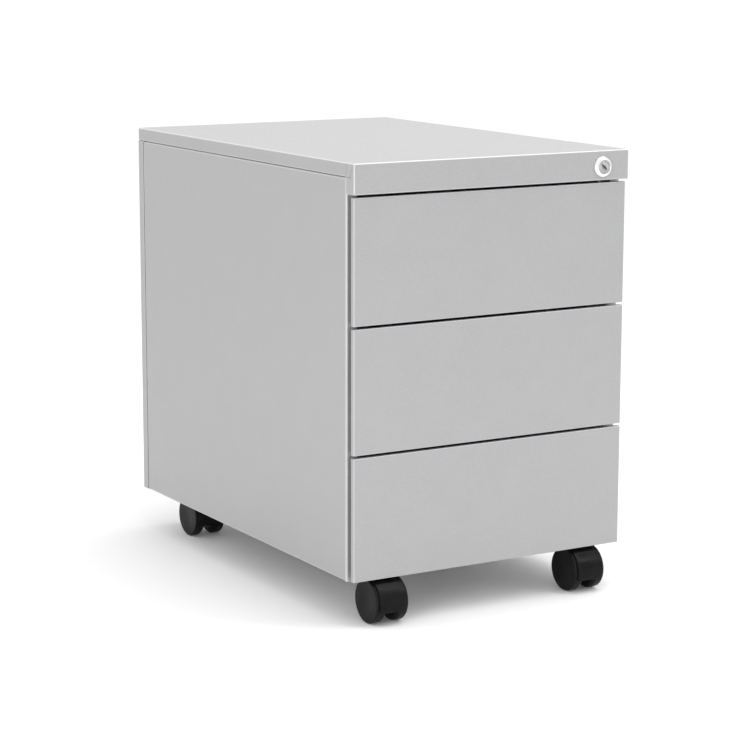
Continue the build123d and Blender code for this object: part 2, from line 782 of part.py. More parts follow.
def lock_catch(line):
    """The angle welded to the box's right side, which the lock bar's hook stands in front of."""
    low = line + CATCH_HEIGHT
    with BuildPart() as catch:
        block(
            BOX_HALF,
            POST_FACE - 2 * SHEET,
            CATCH_Y,
            CATCH_Y + CATCH_SHEET,
            low,
            low + CATCH_SIZE,
        )
        block(
            BOX_HALF,
            BOX_HALF + CATCH_SHEET,
            CATCH_Y,
            CATCH_Y + CATCH_LEG,
            low,
            low + CATCH_SIZE,
        )
    return catch


def cross_screw(shank, reach, head, head_thick):
    """A pan-head screw with a cross recess, its head's underside at z 0 and its shank along +Z."""
    with BuildPart() as screw:
        with BuildSketch(Plane.XZ):
            with BuildLine():
                Polyline((0, reach), (shank, reach), (shank, 0), (head, 0))
                ThreePointArc(
                    (head, 0), (head * 0.72, -head_thick * 0.8), (0, -head_thick)
                )
                Line((0, -head_thick), (0, reach))
            make_face()
        revolve(axis=Axis.Z)
        for wide, deep in ((head, CROSS_WIDTH), (CROSS_WIDTH, head)):
            with Locations((0, 0, -head_thick)):
                Box(wide, deep, 2 * CROSS_DEPTH, mode=Mode.SUBTRACT)
    return screw.part


def front_screws(line):
    """Four screws from inside the box into the liner."""
    screw = cross_screw(
        FRONT_SCREW, SCREW_REACH, FRONT_SCREW_HEAD, FRONT_SCREW_HEAD_THICK
    )
    return Compound(
        [
            screw.moved(Location((x, LINER_REAR + SHEET, z), (90, 0, 0)))
            for x, z in front_screw_places(line)
        ]
    )


for name, line in zip(DRAWER_NAMES, DRAWER_LINES):
    save(front_skin(line), f"{name}_drawer_front")
    save(front_liner(line), f"{name}_drawer_liner")
    save(drawer_box(line), f"{name}_drawer_box")
    save(front_screws(line), f"{name}_drawer_screws")
    save(drawer_members(line), f"{name}_drawer_slides")
    save(middle_members(line), f"{name}_middle_slides")
    save(ball_cages(line, OUTER_HALF, OUTER_RACE_X), f"{name}_outer_ball_cages")
    save(ball_cages(line, MIDDLE_HALF, INNER_RACE_X), f"{name}_inner_ball_cages")

# ================================================================ panel and slide screws
panel_screw = cross_screw(SCREW_RADIUS, SCREW_REACH, SCREW_HEAD, SCREW_HEAD_THICK)
slide_screws = [
    panel_screw.moved(
        Location((side * (POST_FACE - SLIDE_SHEET), y, z), (0, side * 90, 0))
    )
    for side in (-1, 1)
    for _, y, z in slide_screw_places(side)
]
cover_screws = [
    panel_screw.moved(Location((x, y, z - SHEET))) for x, y, z in cover_screw_places()
]
save(Compound(slide_screws + cover_screws), "panel_screws")

# ================================================================ lock
lock_plane = Plane(
    origin=(LOCK_X, FRONT, LOCK_Z), x_dir=(1, 0, 0), z_dir=(0, 1, 0)
)  # local z runs back into the cabinet, local y points down

with BuildPart() as lock_bezel:
    with BuildSketch(Plane(lock_plane.origin, x_dir=(1, 0, 0), z_dir=(0, 0, 1))):
        hole = HOUSING_RADIUS + LOCK_CLEARANCE / 2
        with BuildLine():
            Polyline(
                (hole, -LOCK_PROUD), (hole, 0), (BEZEL_RADIUS, 0), (BEZEL_RADIUS, -0.8)
            )
            ThreePointArc(
                (BEZEL_RADIUS, -0.8),
                ((BEZEL_RADIUS + hole) / 2 + 0.7, -LOCK_PROUD * 0.75),
                (hole + 0.7, -LOCK_PROUD),
            )
            Line((hole + 0.7, -LOCK_PROUD), (hole, -LOCK_PROUD))
        make_face()
    revolve(axis=Axis((LOCK_X, FRONT, LOCK_Z), (0, 1, 0)))
save(lock_bezel.part, "lock_bezel")

with BuildPart() as lock_housing:
    with BuildSketch(lock_plane.offset(-LOCK_PROUD + FIT_GAP / 2)):
        Circle(HOUSING_RADIUS)
        Circle(PLUG_RADIUS + LOCK_CLEARANCE, mode=Mode.SUBTRACT)
    extrude(amount=HOUSING_REACH + LOCK_PROUD - FIT_GAP / 2)
    chamfer(
        lock_housing.edges().filter_by(GeomType.CIRCLE).group_by(Axis.Y)[0], length=0.4
    )
save(lock_housing.part, "lock_housing")

with BuildPart() as lock_nut:
    with BuildSketch(lock_plane.offset(SHEET)):
        RegularPolygon(HOUSING_RADIUS + NUT_WALL, 6, major_radius=False)
        Circle(HOUSING_RADIUS + LOCK_CLEARANCE, mode=Mode.SUBTRACT)
    extrude(amount=NUT_THICK)
save(lock_nut.part, "lock_nut")

with BuildPart() as lock_plug:
    with BuildSketch(lock_plane.offset(-LOCK_PROUD + FIT_GAP / 2)):
        Circle(PLUG_RADIUS)
    extrude(amount=HOUSING_REACH + LOCK_PROUD - FIT_GAP / 2 + FIT_GAP)
    chamfer(
        lock_plug.edges().filter_by(GeomType.CIRCLE).group_by(Axis.Y)[0], length=0.3
    )
    with BuildSketch(lock_plane.offset(HOUSING_REACH)):
        Rectangle(TAIL, TAIL)
    extrude(amount=FIT_GAP + CAM_SHEET)
    # The keyway: three short runs, the middle one stepped sideways, at the key's angle.
    with BuildSketch(lock_plane.offset(-LOCK_PROUD)):
        third = KEYWAY_LENGTH / 3
        turn = math.radians(KEYWAY_TILT)
        for along, across_by in ((-third, -0.5), (0, 0.0), (third, 0.5)):
            shift = across_by * KEYWAY_STEP
            x = along * math.sin(turn) + shift * math.cos(turn)
            y = along * math.cos(turn) - shift * math.sin(turn)
            with Locations(Location((x, y, 0), (0, 0, -KEYWAY_TILT))):
                Rectangle(KEYWAY_WIDTH, third * 1.15)
    extrude(amount=KEYWAY_DEPTH, mode=Mode.SUBTRACT)
save(lock_plug.part, "lock_plug")

pin_x = CAM_RADIUS * math.cos(math.radians(CAM_START))
pin_z = CAM_RADIUS * math.sin(math.radians(CAM_START))
with BuildPart() as lock_cam:
    with BuildSketch(lock_plane.offset(HOUSING_REACH + FIT_GAP)):
        Circle(PLUG_RADIUS)
        with Locations((pin_x, -pin_z)):
            Circle(PIN_RADIUS * 2)
        make_hull()
        Rectangle(TAIL, TAIL, mode=Mode.SUBTRACT)
    extrude(amount=CAM_SHEET)
    with BuildSketch(lock_plane.offset(HOUSING_REACH + FIT_GAP + CAM_SHEET)):
        with Locations((pin_x, -pin_z)):
            Circle(PIN_RADIUS)
    extrude(amount=PIN_LENGTH)
save(lock_cam.part, "lock_cam")

slot_x = LOCK_X + pin_x
slot_z = LOCK_Z + pin_z
strip_top = COVER_BOTTOM - SHEET - BAR_LIFT - FIT_GAP * 2
strip_bottom = DRAWER_LINES[0] + CATCH_HEIGHT - HOOK_PLAY - 2 * HOOK_HEIGHT
tab_half = PIN_RADIUS * 3
tab_outer = HALF - SHEET - max(EDGE_FLANGE, COVER_RETURN) - 2 * FIT_GAP
with BuildPart() as lock_bar:
    far = BAR_Y + BAR_SHEET
    block(BAR_INNER, BAR_OUTER, BAR_Y, far, strip_bottom, strip_top)
    block(
        slot_x - 2 * PIN_RADIUS,
        tab_outer,
        BAR_Y,
        far,
        slot_z - tab_half,
        slot_z + tab_half,
    )
    block(
        POST_FACE - BAR_WIDTH,
        BAR_INNER + SHEET,
        BAR_Y,
        far,
        strip_top - 2 * BAR_WIDTH,
        strip_top,
    )
    for line in DRAWER_LINES:
        top = line + CATCH_HEIGHT - HOOK_PLAY
        block(BOX_HALF + HOOK_GAP, BAR_INNER + SHEET, BAR_Y, far, top - HOOK_HEIGHT, top)
    sway = CAM_RADIUS * (1 - math.cos(math.radians(CAM_TURN / 2)))
    slot_wide = sway + 2 * PIN_RADIUS + 2 * PIN_PLAY
    with Locations(Location((slot_x + sway / 2, BAR_Y, slot_z))):
        Box(
            slot_wide,
            4 * BAR_SHEET,
            2 * PIN_RADIUS + 2 * PIN_PLAY,
            mode=Mode.SUBTRACT,
        )
save(lock_bar.part, "lock_bar")

with BuildPart() as lock_bar_guides:
    for line in DRAWER_LINES:
        middle = line + SLIDE_LINE
        block(
            BAR_INNER - GUIDE_WALL / 2,
            HALF - SHEET,
            BAR_Y - GUIDE_WALL,
            BAR_Y + BAR_SHEET + GUIDE_WALL,
            middle - GUIDE_HEIGHT / 2,
            middle + GUIDE_HEIGHT / 2,
        )
        block(
            BAR_INNER - GUIDE_PLAY,
            BAR_OUTER + GUIDE_PLAY,
            BAR_Y - GUIDE_PLAY,
            BAR_Y + BAR_SHEET + GUIDE_PLAY,
            middle - GUIDE_HEIGHT,
            middle + GUIDE_HEIGHT,
            mode=Mode.SUBTRACT,
        )
save(lock_bar_guides.part, "lock_bar_guides")

# ================================================================ casters
with BuildPart() as caster_plates:
    for place in CASTERS.values():
        with BuildSketch(Plane((*place, PLATE_BOTTOM))):
            RectangleRounded(PLATE_SIZE, PLATE_SIZE, PLATE_SIZE / 8)
            with GridLocations(PLATE_HOLES, PLATE_HOLES, 2, 2):
                Circle(CASTER_SCREW + SCREW_CLEARANCE, mode=Mode.SUBTRACT)
        extrude(amount=PLATE_THICK)

# The swivel pins are pressed into the plates, each a solid of its own.
with BuildPart() as swivel_pins:
    for place in CASTERS.values():
        with BuildSketch(Plane((*place, PLATE_BOTTOM))):
            Circle(SWIVEL_RADIUS)
        extrude(amount=-SWIVEL_LENGTH)
save(
    Compound([*caster_plates.part.solids(), *swivel_pins.part.solids()]),
    "caster_plates",
)

with BuildPart() as caster_screws:
    for place in CASTERS.values():
        with BuildSketch(Plane((*place, PLATE_BOTTOM))):
            with GridLocations(PLATE_HOLES, PLATE_HOLES, 2, 2):
                RegularPolygon(CASTER_HEX / 2, 6, major_radius=False)
        extrude(amount=-CASTER_HEX_THICK)
        with BuildSketch(Plane((*place, PLATE_BOTTOM))):
            with GridLocations(PLATE_HOLES, PLATE_HOLES, 2, 2):
                Circle(CASTER_SCREW)
        extrude(amount=PLATE_THICK + SHEET + SCREW_REACH)
save(caster_screws.part, "caster_screws")

WHEEL_INNER = WHEEL_PITCH / 2 - WHEEL_WIDTH / 2
WHEEL_OUTER = WHEEL_INNER + WHEEL_WIDTH
SPINE_HALF = WHEEL_INNER - SPINE_GAP
HOOD_HALF = WHEEL_OUTER - HOOD_SIDE


def axle_axis(place):
    """The line that both wheels of a caster turn on."""
    x, y = place
    return Axis((x, y - TRAIL, WHEEL_RADIUS), (1, 0, 0))


def wheel(place, side):
    """A wheel: rounded tread, dished outer face, hollow inner side and a blind hub."""
    x, y = place
    radius = WHEEL_RADIUS
    with BuildPart() as turned:
        with BuildSketch(Plane((x, y - TRAIL, WHEEL_RADIUS), (1, 0, 0), (0, 0, 1))):
            with BuildLine():
                bore = AXLE_RADIUS + AXLE_CLEARANCE
                hollow = WHEEL_INNER + WHEEL_WIDTH - WEB_THICK - WHEEL_DISH
                cap = WHEEL_OUTER - WHEEL_DISH
                outline = [
                    (WHEEL_INNER, bore),
                    (WHEEL_INNER, HUB_RADIUS),
                    (hollow, HUB_RADIUS),
                    (hollow, radius - RIM_THICK),
                    (WHEEL_INNER + TREAD_ROUND, radius - RIM_THICK),
                    (WHEEL_INNER, radius - WHEEL_SHOULDER * 1.5),
                ]
                Polyline(*[(side * a, b) for a, b in outline])
                ThreePointArc(
                    (side * WHEEL_INNER, radius - WHEEL_SHOULDER * 1.5),
                    (side * (WHEEL_INNER + WHEEL_SHOULDER * 0.3), radius - WHEEL_SHOULDER * 0.42),
                    (side * (WHEEL_INNER + WHEEL_SHOULDER), radius),
                )
                Line(
                    (side * (WHEEL_INNER + WHEEL_SHOULDER), radius),
                    (side * (WHEEL_OUTER - TREAD_ROUND), radius),
                )
                ThreePointArc(
                    (side * (WHEEL_OUTER - TREAD_ROUND), radius),
                    (side * (WHEEL_OUTER - TREAD_ROUND * 0.3), radius - TREAD_ROUND * 0.42),
                    (side * WHEEL_OUTER, radius - TREAD_ROUND * 1.5),
                )
                Spline(
                    (side * WHEEL_OUTER, radius - TREAD_ROUND * 1.5),
                    (side * (WHEEL_OUTER - WHEEL_DISH * 0.5), radius * 0.62),
                    (side * cap, 0),
                    tangents=[(0, -1), (0, -1)],
                )
                Polyline(
                    (side * cap, 0),
                    (side * (cap - AXLE_CAP), 0),
                    (side * (cap - AXLE_CAP), bore),
                    (side * WHEEL_INNER, bore),
                )
            make_face()
        revolve(axis=axle_axis(place))
    return turned.part


def hood(place):
    """The swivelling body: cover over both treads, middle wall with the axle, swivel boss."""
    x, y = place
    axle_y = y - TRAIL
    inner = WHEEL_RADIUS + HOOD_GAP
    with BuildPart() as body:
        # The cover: a ring between the wheels' outer edges, from below the axle to the boss.
        with BuildSketch(Plane.YZ.offset(x - HOOD_HALF)):
            with Locations((axle_y, WHEEL_RADIUS)):
                Circle(HOOD_RADIUS)
                Circle(inner, mode=Mode.SUBTRACT)
            with BuildLine():
                far = 2 * HOOD_RADIUS
                start = math.radians(180 + HOOD_DROP)
                end = math.radians(180 - HOOD_REAR)
                Polyline(
                    (axle_y, WHEEL_RADIUS),
                    (
                        axle_y + far * math.cos(start),
                        WHEEL_RADIUS + far * math.sin(start),
                    ),
                    (axle_y - far, WHEEL_RADIUS + 2 * far),
                    (axle_y + far, WHEEL_RADIUS + 2 * far),
                    (axle_y + far * math.cos(end), WHEEL_RADIUS + far * math.sin(end)),
                    close=True,
                )
            make_face(mode=Mode.INTERSECT)
        extrude(amount=2 * HOOD_HALF)
        # The swivel boss, cut back to the same clearance around the wheels.
        with BuildSketch(Plane((x, y, PLATE_BOTTOM - BOSS_GAP))):
            Circle(BOSS_RADIUS)
        extrude(amount=-BOSS_HEIGHT)
        with BuildSketch(Plane.YZ.offset(x - 2 * HOOD_HALF)):
            with Locations((axle_y, WHEEL_RADIUS)):
                Circle(inner)
        extrude(amount=4 * HOOD_HALF, mode=Mode.SUBTRACT)
        # The middle wall, from the cover down to just under the axle.
        with BuildSketch(Plane.YZ.offset(x - SPINE_HALF)):
            with Locations((axle_y, WHEEL_RADIUS)):
                Circle(inner + HOOD_WALL / 2)
            with Locations((axle_y, WHEEL_RADIUS - SPINE_DROP - HOOD_RADIUS)):
                Rectangle(4 * HOOD_RADIUS, 2 * HOOD_RADIUS, mode=Mode.SUBTRACT)
        extrude(amount=2 * SPINE_HALF)
        with Locations((x, y, PLATE_BOTTOM - SWIVEL_LENGTH / 2)):
            Cylinder(
                SWIVEL_RADIUS + SWIVEL_CLEARANCE,
                SWIVEL_LENGTH + 2 * FIT_GAP,
                mode=Mode.SUBTRACT,
            )
        with Locations(Location((x, axle_y, WHEEL_RADIUS), (0, 90, 0))):
            Cylinder(AXLE_RADIUS, 4 * SPINE_HALF, mode=Mode.SUBTRACT)
    return body.part


def axle(place):
    """The steel pin pressed through the hood's middle wall."""
    x, y = place
    reach = WHEEL_OUTER - WHEEL_DISH - AXLE_CAP - FIT_GAP
    with BuildPart() as pin:
        with Locations(Location((x, y - TRAIL, WHEEL_RADIUS), (0, 90, 0))):
            Cylinder(AXLE_RADIUS, 2 * reach)
        chamfer(pin.edges().filter_by(GeomType.CIRCLE), length=0.5)
    return pin.part


for name, place in CASTERS.items():
    save(hood(place), f"{name}_caster_hood")
    save(axle(place), f"{name}_caster_axle")
    save(wheel(place, -1), f"{name}_caster_left_wheel")
    save(wheel(place, 1), f"{name}_caster_right_wheel")
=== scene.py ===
import json
import math

import bmesh
import bpy
import numpy as np
from mathutils import Matrix, Vector


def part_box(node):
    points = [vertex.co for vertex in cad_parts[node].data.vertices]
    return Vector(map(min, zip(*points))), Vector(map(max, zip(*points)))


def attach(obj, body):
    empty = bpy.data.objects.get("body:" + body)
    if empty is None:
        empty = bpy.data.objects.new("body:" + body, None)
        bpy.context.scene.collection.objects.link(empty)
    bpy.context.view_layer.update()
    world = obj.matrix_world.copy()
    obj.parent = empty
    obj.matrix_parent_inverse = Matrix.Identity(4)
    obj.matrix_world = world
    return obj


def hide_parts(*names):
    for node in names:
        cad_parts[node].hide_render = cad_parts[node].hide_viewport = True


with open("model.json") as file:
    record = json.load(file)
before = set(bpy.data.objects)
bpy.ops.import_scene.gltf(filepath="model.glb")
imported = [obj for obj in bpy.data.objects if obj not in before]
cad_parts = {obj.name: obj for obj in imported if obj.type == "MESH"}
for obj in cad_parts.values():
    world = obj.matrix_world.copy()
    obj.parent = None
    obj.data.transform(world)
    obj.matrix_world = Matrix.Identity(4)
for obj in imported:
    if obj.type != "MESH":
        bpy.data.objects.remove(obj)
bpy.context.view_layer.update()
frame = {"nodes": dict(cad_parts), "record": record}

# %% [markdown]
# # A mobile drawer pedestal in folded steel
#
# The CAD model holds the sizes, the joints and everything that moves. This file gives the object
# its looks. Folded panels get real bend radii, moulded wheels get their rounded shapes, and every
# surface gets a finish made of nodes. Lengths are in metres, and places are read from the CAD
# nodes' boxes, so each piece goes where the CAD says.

MM = 0.001
cover_low, cover_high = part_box("top_cover")
panel_low, panel_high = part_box("left_side_panel")
fascia = cover_low.y  # the front face of the cover's fascia
SHEET = 1.0 * MM
DRAWERS = ("bottom", "middle", "top")
CASTERS = ("front_left", "front_right", "rear_left", "rear_right")


def add_object(name, data):
    """A new object in the scene, unturned and at the origin."""
    thing = bpy.data.objects.new(name, data)
    bpy.context.scene.collection.objects.link(thing)
    return thing


# %% [markdown]
# ## The camera
#
# A product picture of furniture is taken from a few metres away with a long lens, so that upright
# edges stay nearly parallel. The camera stands to the left of the cabinet and a little above it.
# It is placed by an angle round the object, an angle above the floor and a distance, because
# those three are what a photographer would change.

# %% Camera: a long lens, thirty degrees round to the left
CAMERA_ROUND = -30.59
CAMERA_UP = 10.668
CAMERA_TILT = 0.12
CAMERA_DISTANCE = 3.1547
AIM_SIDE = 0.0007
AIM_BEHIND_FASCIA = 0.29005
AIM_BELOW_TOP = 0.3184
LENS = 112.43

camera = add_object("camera", bpy.data.cameras.new("camera"))
camera.data.lens = LENS
camera.data.sensor_width = 36
camera.data.clip_end = 100
turn, rise = math.radians(CAMERA_ROUND), math.radians(CAMERA_UP)
backwards = Vector((math.sin(turn) * math.cos(rise), -math.cos(turn) * math.cos(rise), math.sin(rise)))
aim = Vector((AIM_SIDE, fascia + AIM_BEHIND_FASCIA, cover_high.z - AIM_BELOW_TOP))
looking = (-backwards).to_track_quat("-Z", "Y").to_matrix().to_4x4()
camera.matrix_world = Matrix.Translation(aim + backwards * CAMERA_DISTANCE) @ looking @ Matrix.Rotation(
    math.radians(CAMERA_TILT), 4, "Z"
)
bpy.context.scene.camera = camera
print("camera at", [round(v, 3) for v in camera.matrix_world.translation])

# %% [markdown]
# ## Finishes
#
# Every finish is a small node tree round one Principled shader. Patterns read Object coordinates.
# The pieces' meshes are in metres, so a noise scale of 900 gives spots of about a millimetre.
# Two helpers keep the trees short: one starts a material, the other adds a node and its links.


# %% Helpers that start a material and add nodes to it
def finish_of(name, colour, metallic, roughness, **sockets):
    """A new material whose constant values sit on the Principled shader's own sockets."""
    material = bpy.data.materials.new(name)
    material.use_nodes = True
    shader = material.node_tree.nodes["Principled BSDF"]
    shader.inputs["Base Color"].default_value = (*colour, 1)
    shader.inputs["Metallic"].default_value = metallic
    shader.inputs["Roughness"].default_value = roughness
    for socket, value in sockets.items():
        shader.inputs[socket.replace("_", " ")].default_value = value
    material.diffuse_color = (*colour, 1)
    return material, material.node_tree, shader


def node(tree, kind, links=None, **values):
    """Adds one node: links maps its inputs to other nodes' outputs, values set properties."""
    new = tree.nodes.new(kind)
    for key, value in values.items():
        setattr(new, key, value)
    for socket, source in (links or {}).items():
        if isinstance(source, bpy.types.NodeSocket):
            tree.links.new(source, new.inputs[socket])
        else:
            new.inputs[socket].default_value = source
    return new


def spread(tree, source, low, high, from_low=0.3, from_high=0.7):
    """Maps a noise value to the range that a shader's socket needs."""
    ranged = node(
        tree,
        "ShaderNodeMapRange",
        {"Value": source, "From Min": from_low, "From Max": from_high, "To Min": low, "To Max": high},
    )
    return ranged.outputs["Result"]


def noise(tree, scale, detail=2.0, stretch=(1, 1, 1), rough=0.5):
    """Noise on Object coordinates, stretched along an axis where the finish has a direction."""
    place = node(tree, "ShaderNodeTexCoord").outputs["Object"]
    mapped = node(tree, "ShaderNodeMapping", {"Vector": place, "Scale": stretch}).outputs["Vector"]
    made = node(
        tree,
        "ShaderNodeTexNoise",
        {"Vector": mapped, "Scale": scale, "Detail": detail, "Roughness": rough},
    )
    return made.outputs["Fac"]


def tint(tree, factor, dark, light):
    """A blend between two colours, driven by a noise value."""
    mix = node(tree, "ShaderNodeMix", data_type="RGBA")
    tree.links.new(factor, mix.inputs["Factor"])
    mix.inputs["A"].default_value = (*dark, 1)
    mix.inputs["B"].default_value = (*light, 1)
    return mix.outputs["Result"]


def bump(tree, shader, height, distance, strength=1.0, under=None):
    """Raises the surface by a height pattern, over another bump if one is given."""
    links = {"Height": height, "Distance": distance, "Strength": strength}
    if under is not None:
        links["Normal"] = under
    made = node(tree, "ShaderNodeBump", links)
    tree.links.new(made.outputs["Normal"], shader.inputs["Normal"])
    return made.outputs["Normal"]


print("material helpers are ready")

# %% [markdown]
# ## Silver powder coat
#
# The cabinet is sprayed with dry paint and baked. Up close that leaves three things: fine metal
# flakes that sparkle, a slight grain in the colour, and "orange peel", a shallow waviness a few
# millimetres across that softens reflections. Flakes come from Voronoi cells smaller than a
# millimetre, the grain from fine noise and the peel from a larger noise in the bump. Bends that
# face sideways or up are painted a lighter silver, a painted highlight where light would catch
# the round edge; an attribute called bend says how strong that painted highlight is on a face.

# %% Powder coat: flakes, grain, orange peel and a painted highlight on the bends
SILVER_DARK = (0.332, 0.332, 0.337)
SILVER_LIGHT = (0.392, 0.392, 0.397)
# the lighter silver that is painted on bends as a highlight
PAINTED_HIGHLIGHT_SILVER = (0.80, 0.80, 0.81)
POWDER_ROUGHNESS = 0.36
GRAIN_SCALE, CLOUD_SCALE, FLAKE_SCALE = 620, 26, 1500
PEEL_SCALE, PEEL_DEPTH = 380, 0.05 * MM
FLAKE_DEPTH = 0.03 * MM

powder, tree, shader = finish_of("silver_powder_coat", SILVER_LIGHT, 0.3, POWDER_ROUGHNESS)
shader.inputs["Coat Weight"].default_value = 0.15
shader.inputs["Coat Roughness"].default_value = 0.25
grain = spread(tree, noise(tree, GRAIN_SCALE, detail=4, rough=0.65), 0, 1)
cloud = spread(tree, noise(tree, CLOUD_SCALE, detail=4, rough=0.6), 0, 1, 0.25, 0.75)
fine = tint(tree, grain, SILVER_DARK, SILVER_LIGHT)
broad = node(tree, "ShaderNodeMix", data_type="RGBA", blend_type="MULTIPLY")
broad.inputs["Factor"].default_value = 1.0
tree.links.new(fine, broad.inputs["A"])
tree.links.new(tint(tree, cloud, (0.965, 0.965, 0.967), (1, 1, 1)), broad.inputs["B"])
# painted highlight: a bend's faces are blended towards the lighter silver by the bend attribute
painted_highlight_share = node(tree, "ShaderNodeAttribute", attribute_name="bend").outputs["Fac"]
bright = node(tree, "ShaderNodeMix", data_type="RGBA")
tree.links.new(painted_highlight_share, bright.inputs["Factor"])
tree.links.new(broad.outputs["Result"], bright.inputs["A"])
bright.inputs["B"].default_value = (*PAINTED_HIGHLIGHT_SILVER, 1)
tree.links.new(bright.outputs["Result"], shader.inputs["Base Color"])
place = node(tree, "ShaderNodeTexCoord").outputs["Object"]
flakes = node(tree, "ShaderNodeTexVoronoi", {"Vector": place, "Scale": FLAKE_SCALE})
sparkle = node(tree, "ShaderNodeSeparateColor", {"Color": flakes.outputs["Color"]}).outputs["Red"]
tree.links.new(spread(tree, sparkle, 0.28, 0.46, 0, 1), shader.inputs["Roughness"])
peel = bump(tree, shader, noise(tree, PEEL_SCALE, detail=1), PEEL_DEPTH, 0.5)
bump(tree, shader, noise(tree, FLAKE_SCALE, detail=2), FLAKE_DEPTH, 0.6, under=peel)
print("made", powder.name)

# %% [markdown]
# ## Plastics
#
# The casters are moulded nylon with a fine spark-eroded texture, so the bump is a dense noise and
# the roughness wanders a little. The hoods are a little smoother than the wheels. The lock bar's
# guides are natural nylon, a milky white.


# %% Black and natural nylon
NYLON_TEXTURE = 0.02 * MM


def nylon(name, colour, roughness, shine):
    """Moulded plastic: a dense texture in the bump, colour and roughness that wander slightly."""
    material, tree, shader = finish_of(name, colour, 0.0, roughness, IOR=1.5, Specular_IOR_Level=shine)
    wander = noise(tree, 60, detail=4)
    light = tuple(value * 1.35 + 0.002 for value in colour)
    tree.links.new(tint(tree, spread(tree, wander, 0, 1), colour, light), shader.inputs["Base Color"])
    tree.links.new(spread(tree, wander, roughness - 0.05, roughness + 0.07), shader.inputs["Roughness"])
    bump(tree, shader, noise(tree, 2200, detail=3), NYLON_TEXTURE, 0.7)
    return material


hood_black = nylon("satin_black_nylon", (0.0028, 0.0028, 0.0029), 0.28, 0.12)
wheel_black = nylon("hard_black_nylon", (0.003, 0.003, 0.003), 0.4, 0.14)
guide_white = nylon("natural_nylon", (0.72, 0.71, 0.67), 0.5, 0.5)
print("made", hood_black.name, wheel_black.name, guide_white.name)

# %% [markdown]
# ## Bare and plated metals
#
# Slides, screws and the lock bar are zinc plated, which leaves a soft grey shine with streaks
# along the rolling direction. Balls and their cages are ground steel. The bezel is bright chrome
# and the lock's core satin nickel with fine upright streaks. The counterweight and the caster
# plates are painted black.


# %% Zinc, steel, chrome, nickel and black paint
def plated(name, colour, roughness, streak, scale):
    """A plated metal whose roughness and tone vary in streaks along one axis."""
    material, tree, shader = finish_of(name, colour, 1.0, roughness)
    streaks = noise(tree, scale, detail=4, stretch=streak)
    spots = noise(tree, 90, detail=5)
    darker = tuple(value * 0.86 for value in colour)
    tree.links.new(tint(tree, spread(tree, spots, 0, 1), darker, colour), shader.inputs["Base Color"])
    tree.links.new(spread(tree, streaks, roughness * 0.75, roughness * 1.3), shader.inputs["Roughness"])
    bump(tree, shader, streaks, 0.01 * MM, 0.35)
    return material


def painted_black(name, level, roughness):
    """Thin black paint over rough metal."""
    material, tree, shader = finish_of(name, (level, level, level), 0.0, roughness)
    mottled = noise(tree, 300, detail=6)
    colour = tint(tree, spread(tree, mottled, 0, 1), (level * 0.7,) * 3, (level * 1.5,) * 3)
    tree.links.new(colour, shader.inputs["Base Color"])
    bump(tree, shader, mottled, 0.08 * MM, 0.6)
    return material


zinc = plated("bright_zinc", (0.68, 0.69, 0.7), 0.3, (1, 0.03, 1), 900)
zinc_upright = plated("bright_zinc_upright", (0.66, 0.67, 0.68), 0.32, (1, 1, 0.03), 900)
bearing = plated("bearing_steel", (0.6, 0.6, 0.61), 0.16, (1, 0.1, 1), 700)
chrome = plated("bright_chrome", (0.88, 0.885, 0.89), 0.07, (1, 1, 1), 400)
nickel = plated("satin_nickel", (0.5, 0.5, 0.495), 0.3, (1, 1, 0.15), 1600)
weight_black = painted_black("black_primer", 0.03, 0.7)
plate_black = painted_black("black_zinc", 0.022, 0.45)
print("made", len(bpy.data.materials), "materials in all")

# %% [markdown]
# ## How a folded panel is made
#
# A sheet-metal worker starts from a flat blank and folds it. The mesh follows the same idea: the
# outer face of every flange is one flat polygon, and polygons that share an edge are folded along
# it. A Bevel modifier rounds those shared edges to the bend radius, and Solidify then gives the
# skin its thickness on the inner side, so both sides of a bend are round. A last small bevel takes
# the sharpness off the cut edges, which is where light catches on a painted panel.


# %% Folded sheet: flat faces, then bends, then thickness
def settle(piece, material):
    """Applies the modifiers to the mesh, so that a finished piece is a plain mesh at the origin."""
    bpy.context.view_layer.update()
    evaluated = piece.evaluated_get(bpy.context.evaluated_depsgraph_get())
    mesh = bpy.data.meshes.new_from_object(evaluated)
    piece.modifiers.clear()
    piece.data = mesh
    mesh.name = piece.name
    mesh.materials.clear()
    mesh.materials.append(material)
    return piece


def mesh_object(name, bm, material):
    """Turns a bmesh into an object in the scene, with one material."""
    mesh = bpy.data.meshes.new(name)
    bm.to_mesh(mesh)
    bm.free()
    mesh.materials.append(material)
    return add_object(name, mesh)


def soften(piece, width, segments=2, angle=60):
    """Adds a small bevel on edges sharper than an angle in degrees."""
    bevel = piece.modifiers.new("edge", "BEVEL")
    bevel.width = width
    bevel.segments = segments
    bevel.limit_method = "ANGLE"
    bevel.angle_limit = math.radians(angle)
    bevel.use_clamp_overlap = True
    bevel.miter_outer = "MITER_ARC"


def shade(piece, material, angle=35):
    """Smooth shading that keeps flat faces flat: sharp edges by angle, normals by face area."""
    piece.data.shade_smooth()
    piece.data.set_sharp_from_angle(angle=math.radians(angle))
    weights = piece.modifiers.new("normals", "WEIGHTED_NORMAL")
    weights.keep_sharp = True
    return settle(piece, material)


FOLD_ANGLE = math.radians(20)  # faces that meet at less than this count as one flat sheet
FLANGE_SHARE = 0.42  # a bend takes at most this share of the narrower flange beside it
TILT = 0.3  # a bend whose normal rises or falls by more than this is an upper or a lower one
CUT_EDGE = 0.12 * MM


def weigh_bends(bm, bend):
    """Gives each fold its share of the bend radius, less where a flange beside it is narrow."""
    weights = bm.edges.layers.float.new("bevel_weight_edge")
    for edge in bm.edges:
        if len(edge.link_faces) == 2 and edge.calc_face_angle() > FOLD_ANGLE:
            narrow = min(face.calc_area() / edge.calc_length() for face in edge.link_faces)
            edge[weights] = min(1.0, FLANGE_SHARE * narrow / bend)


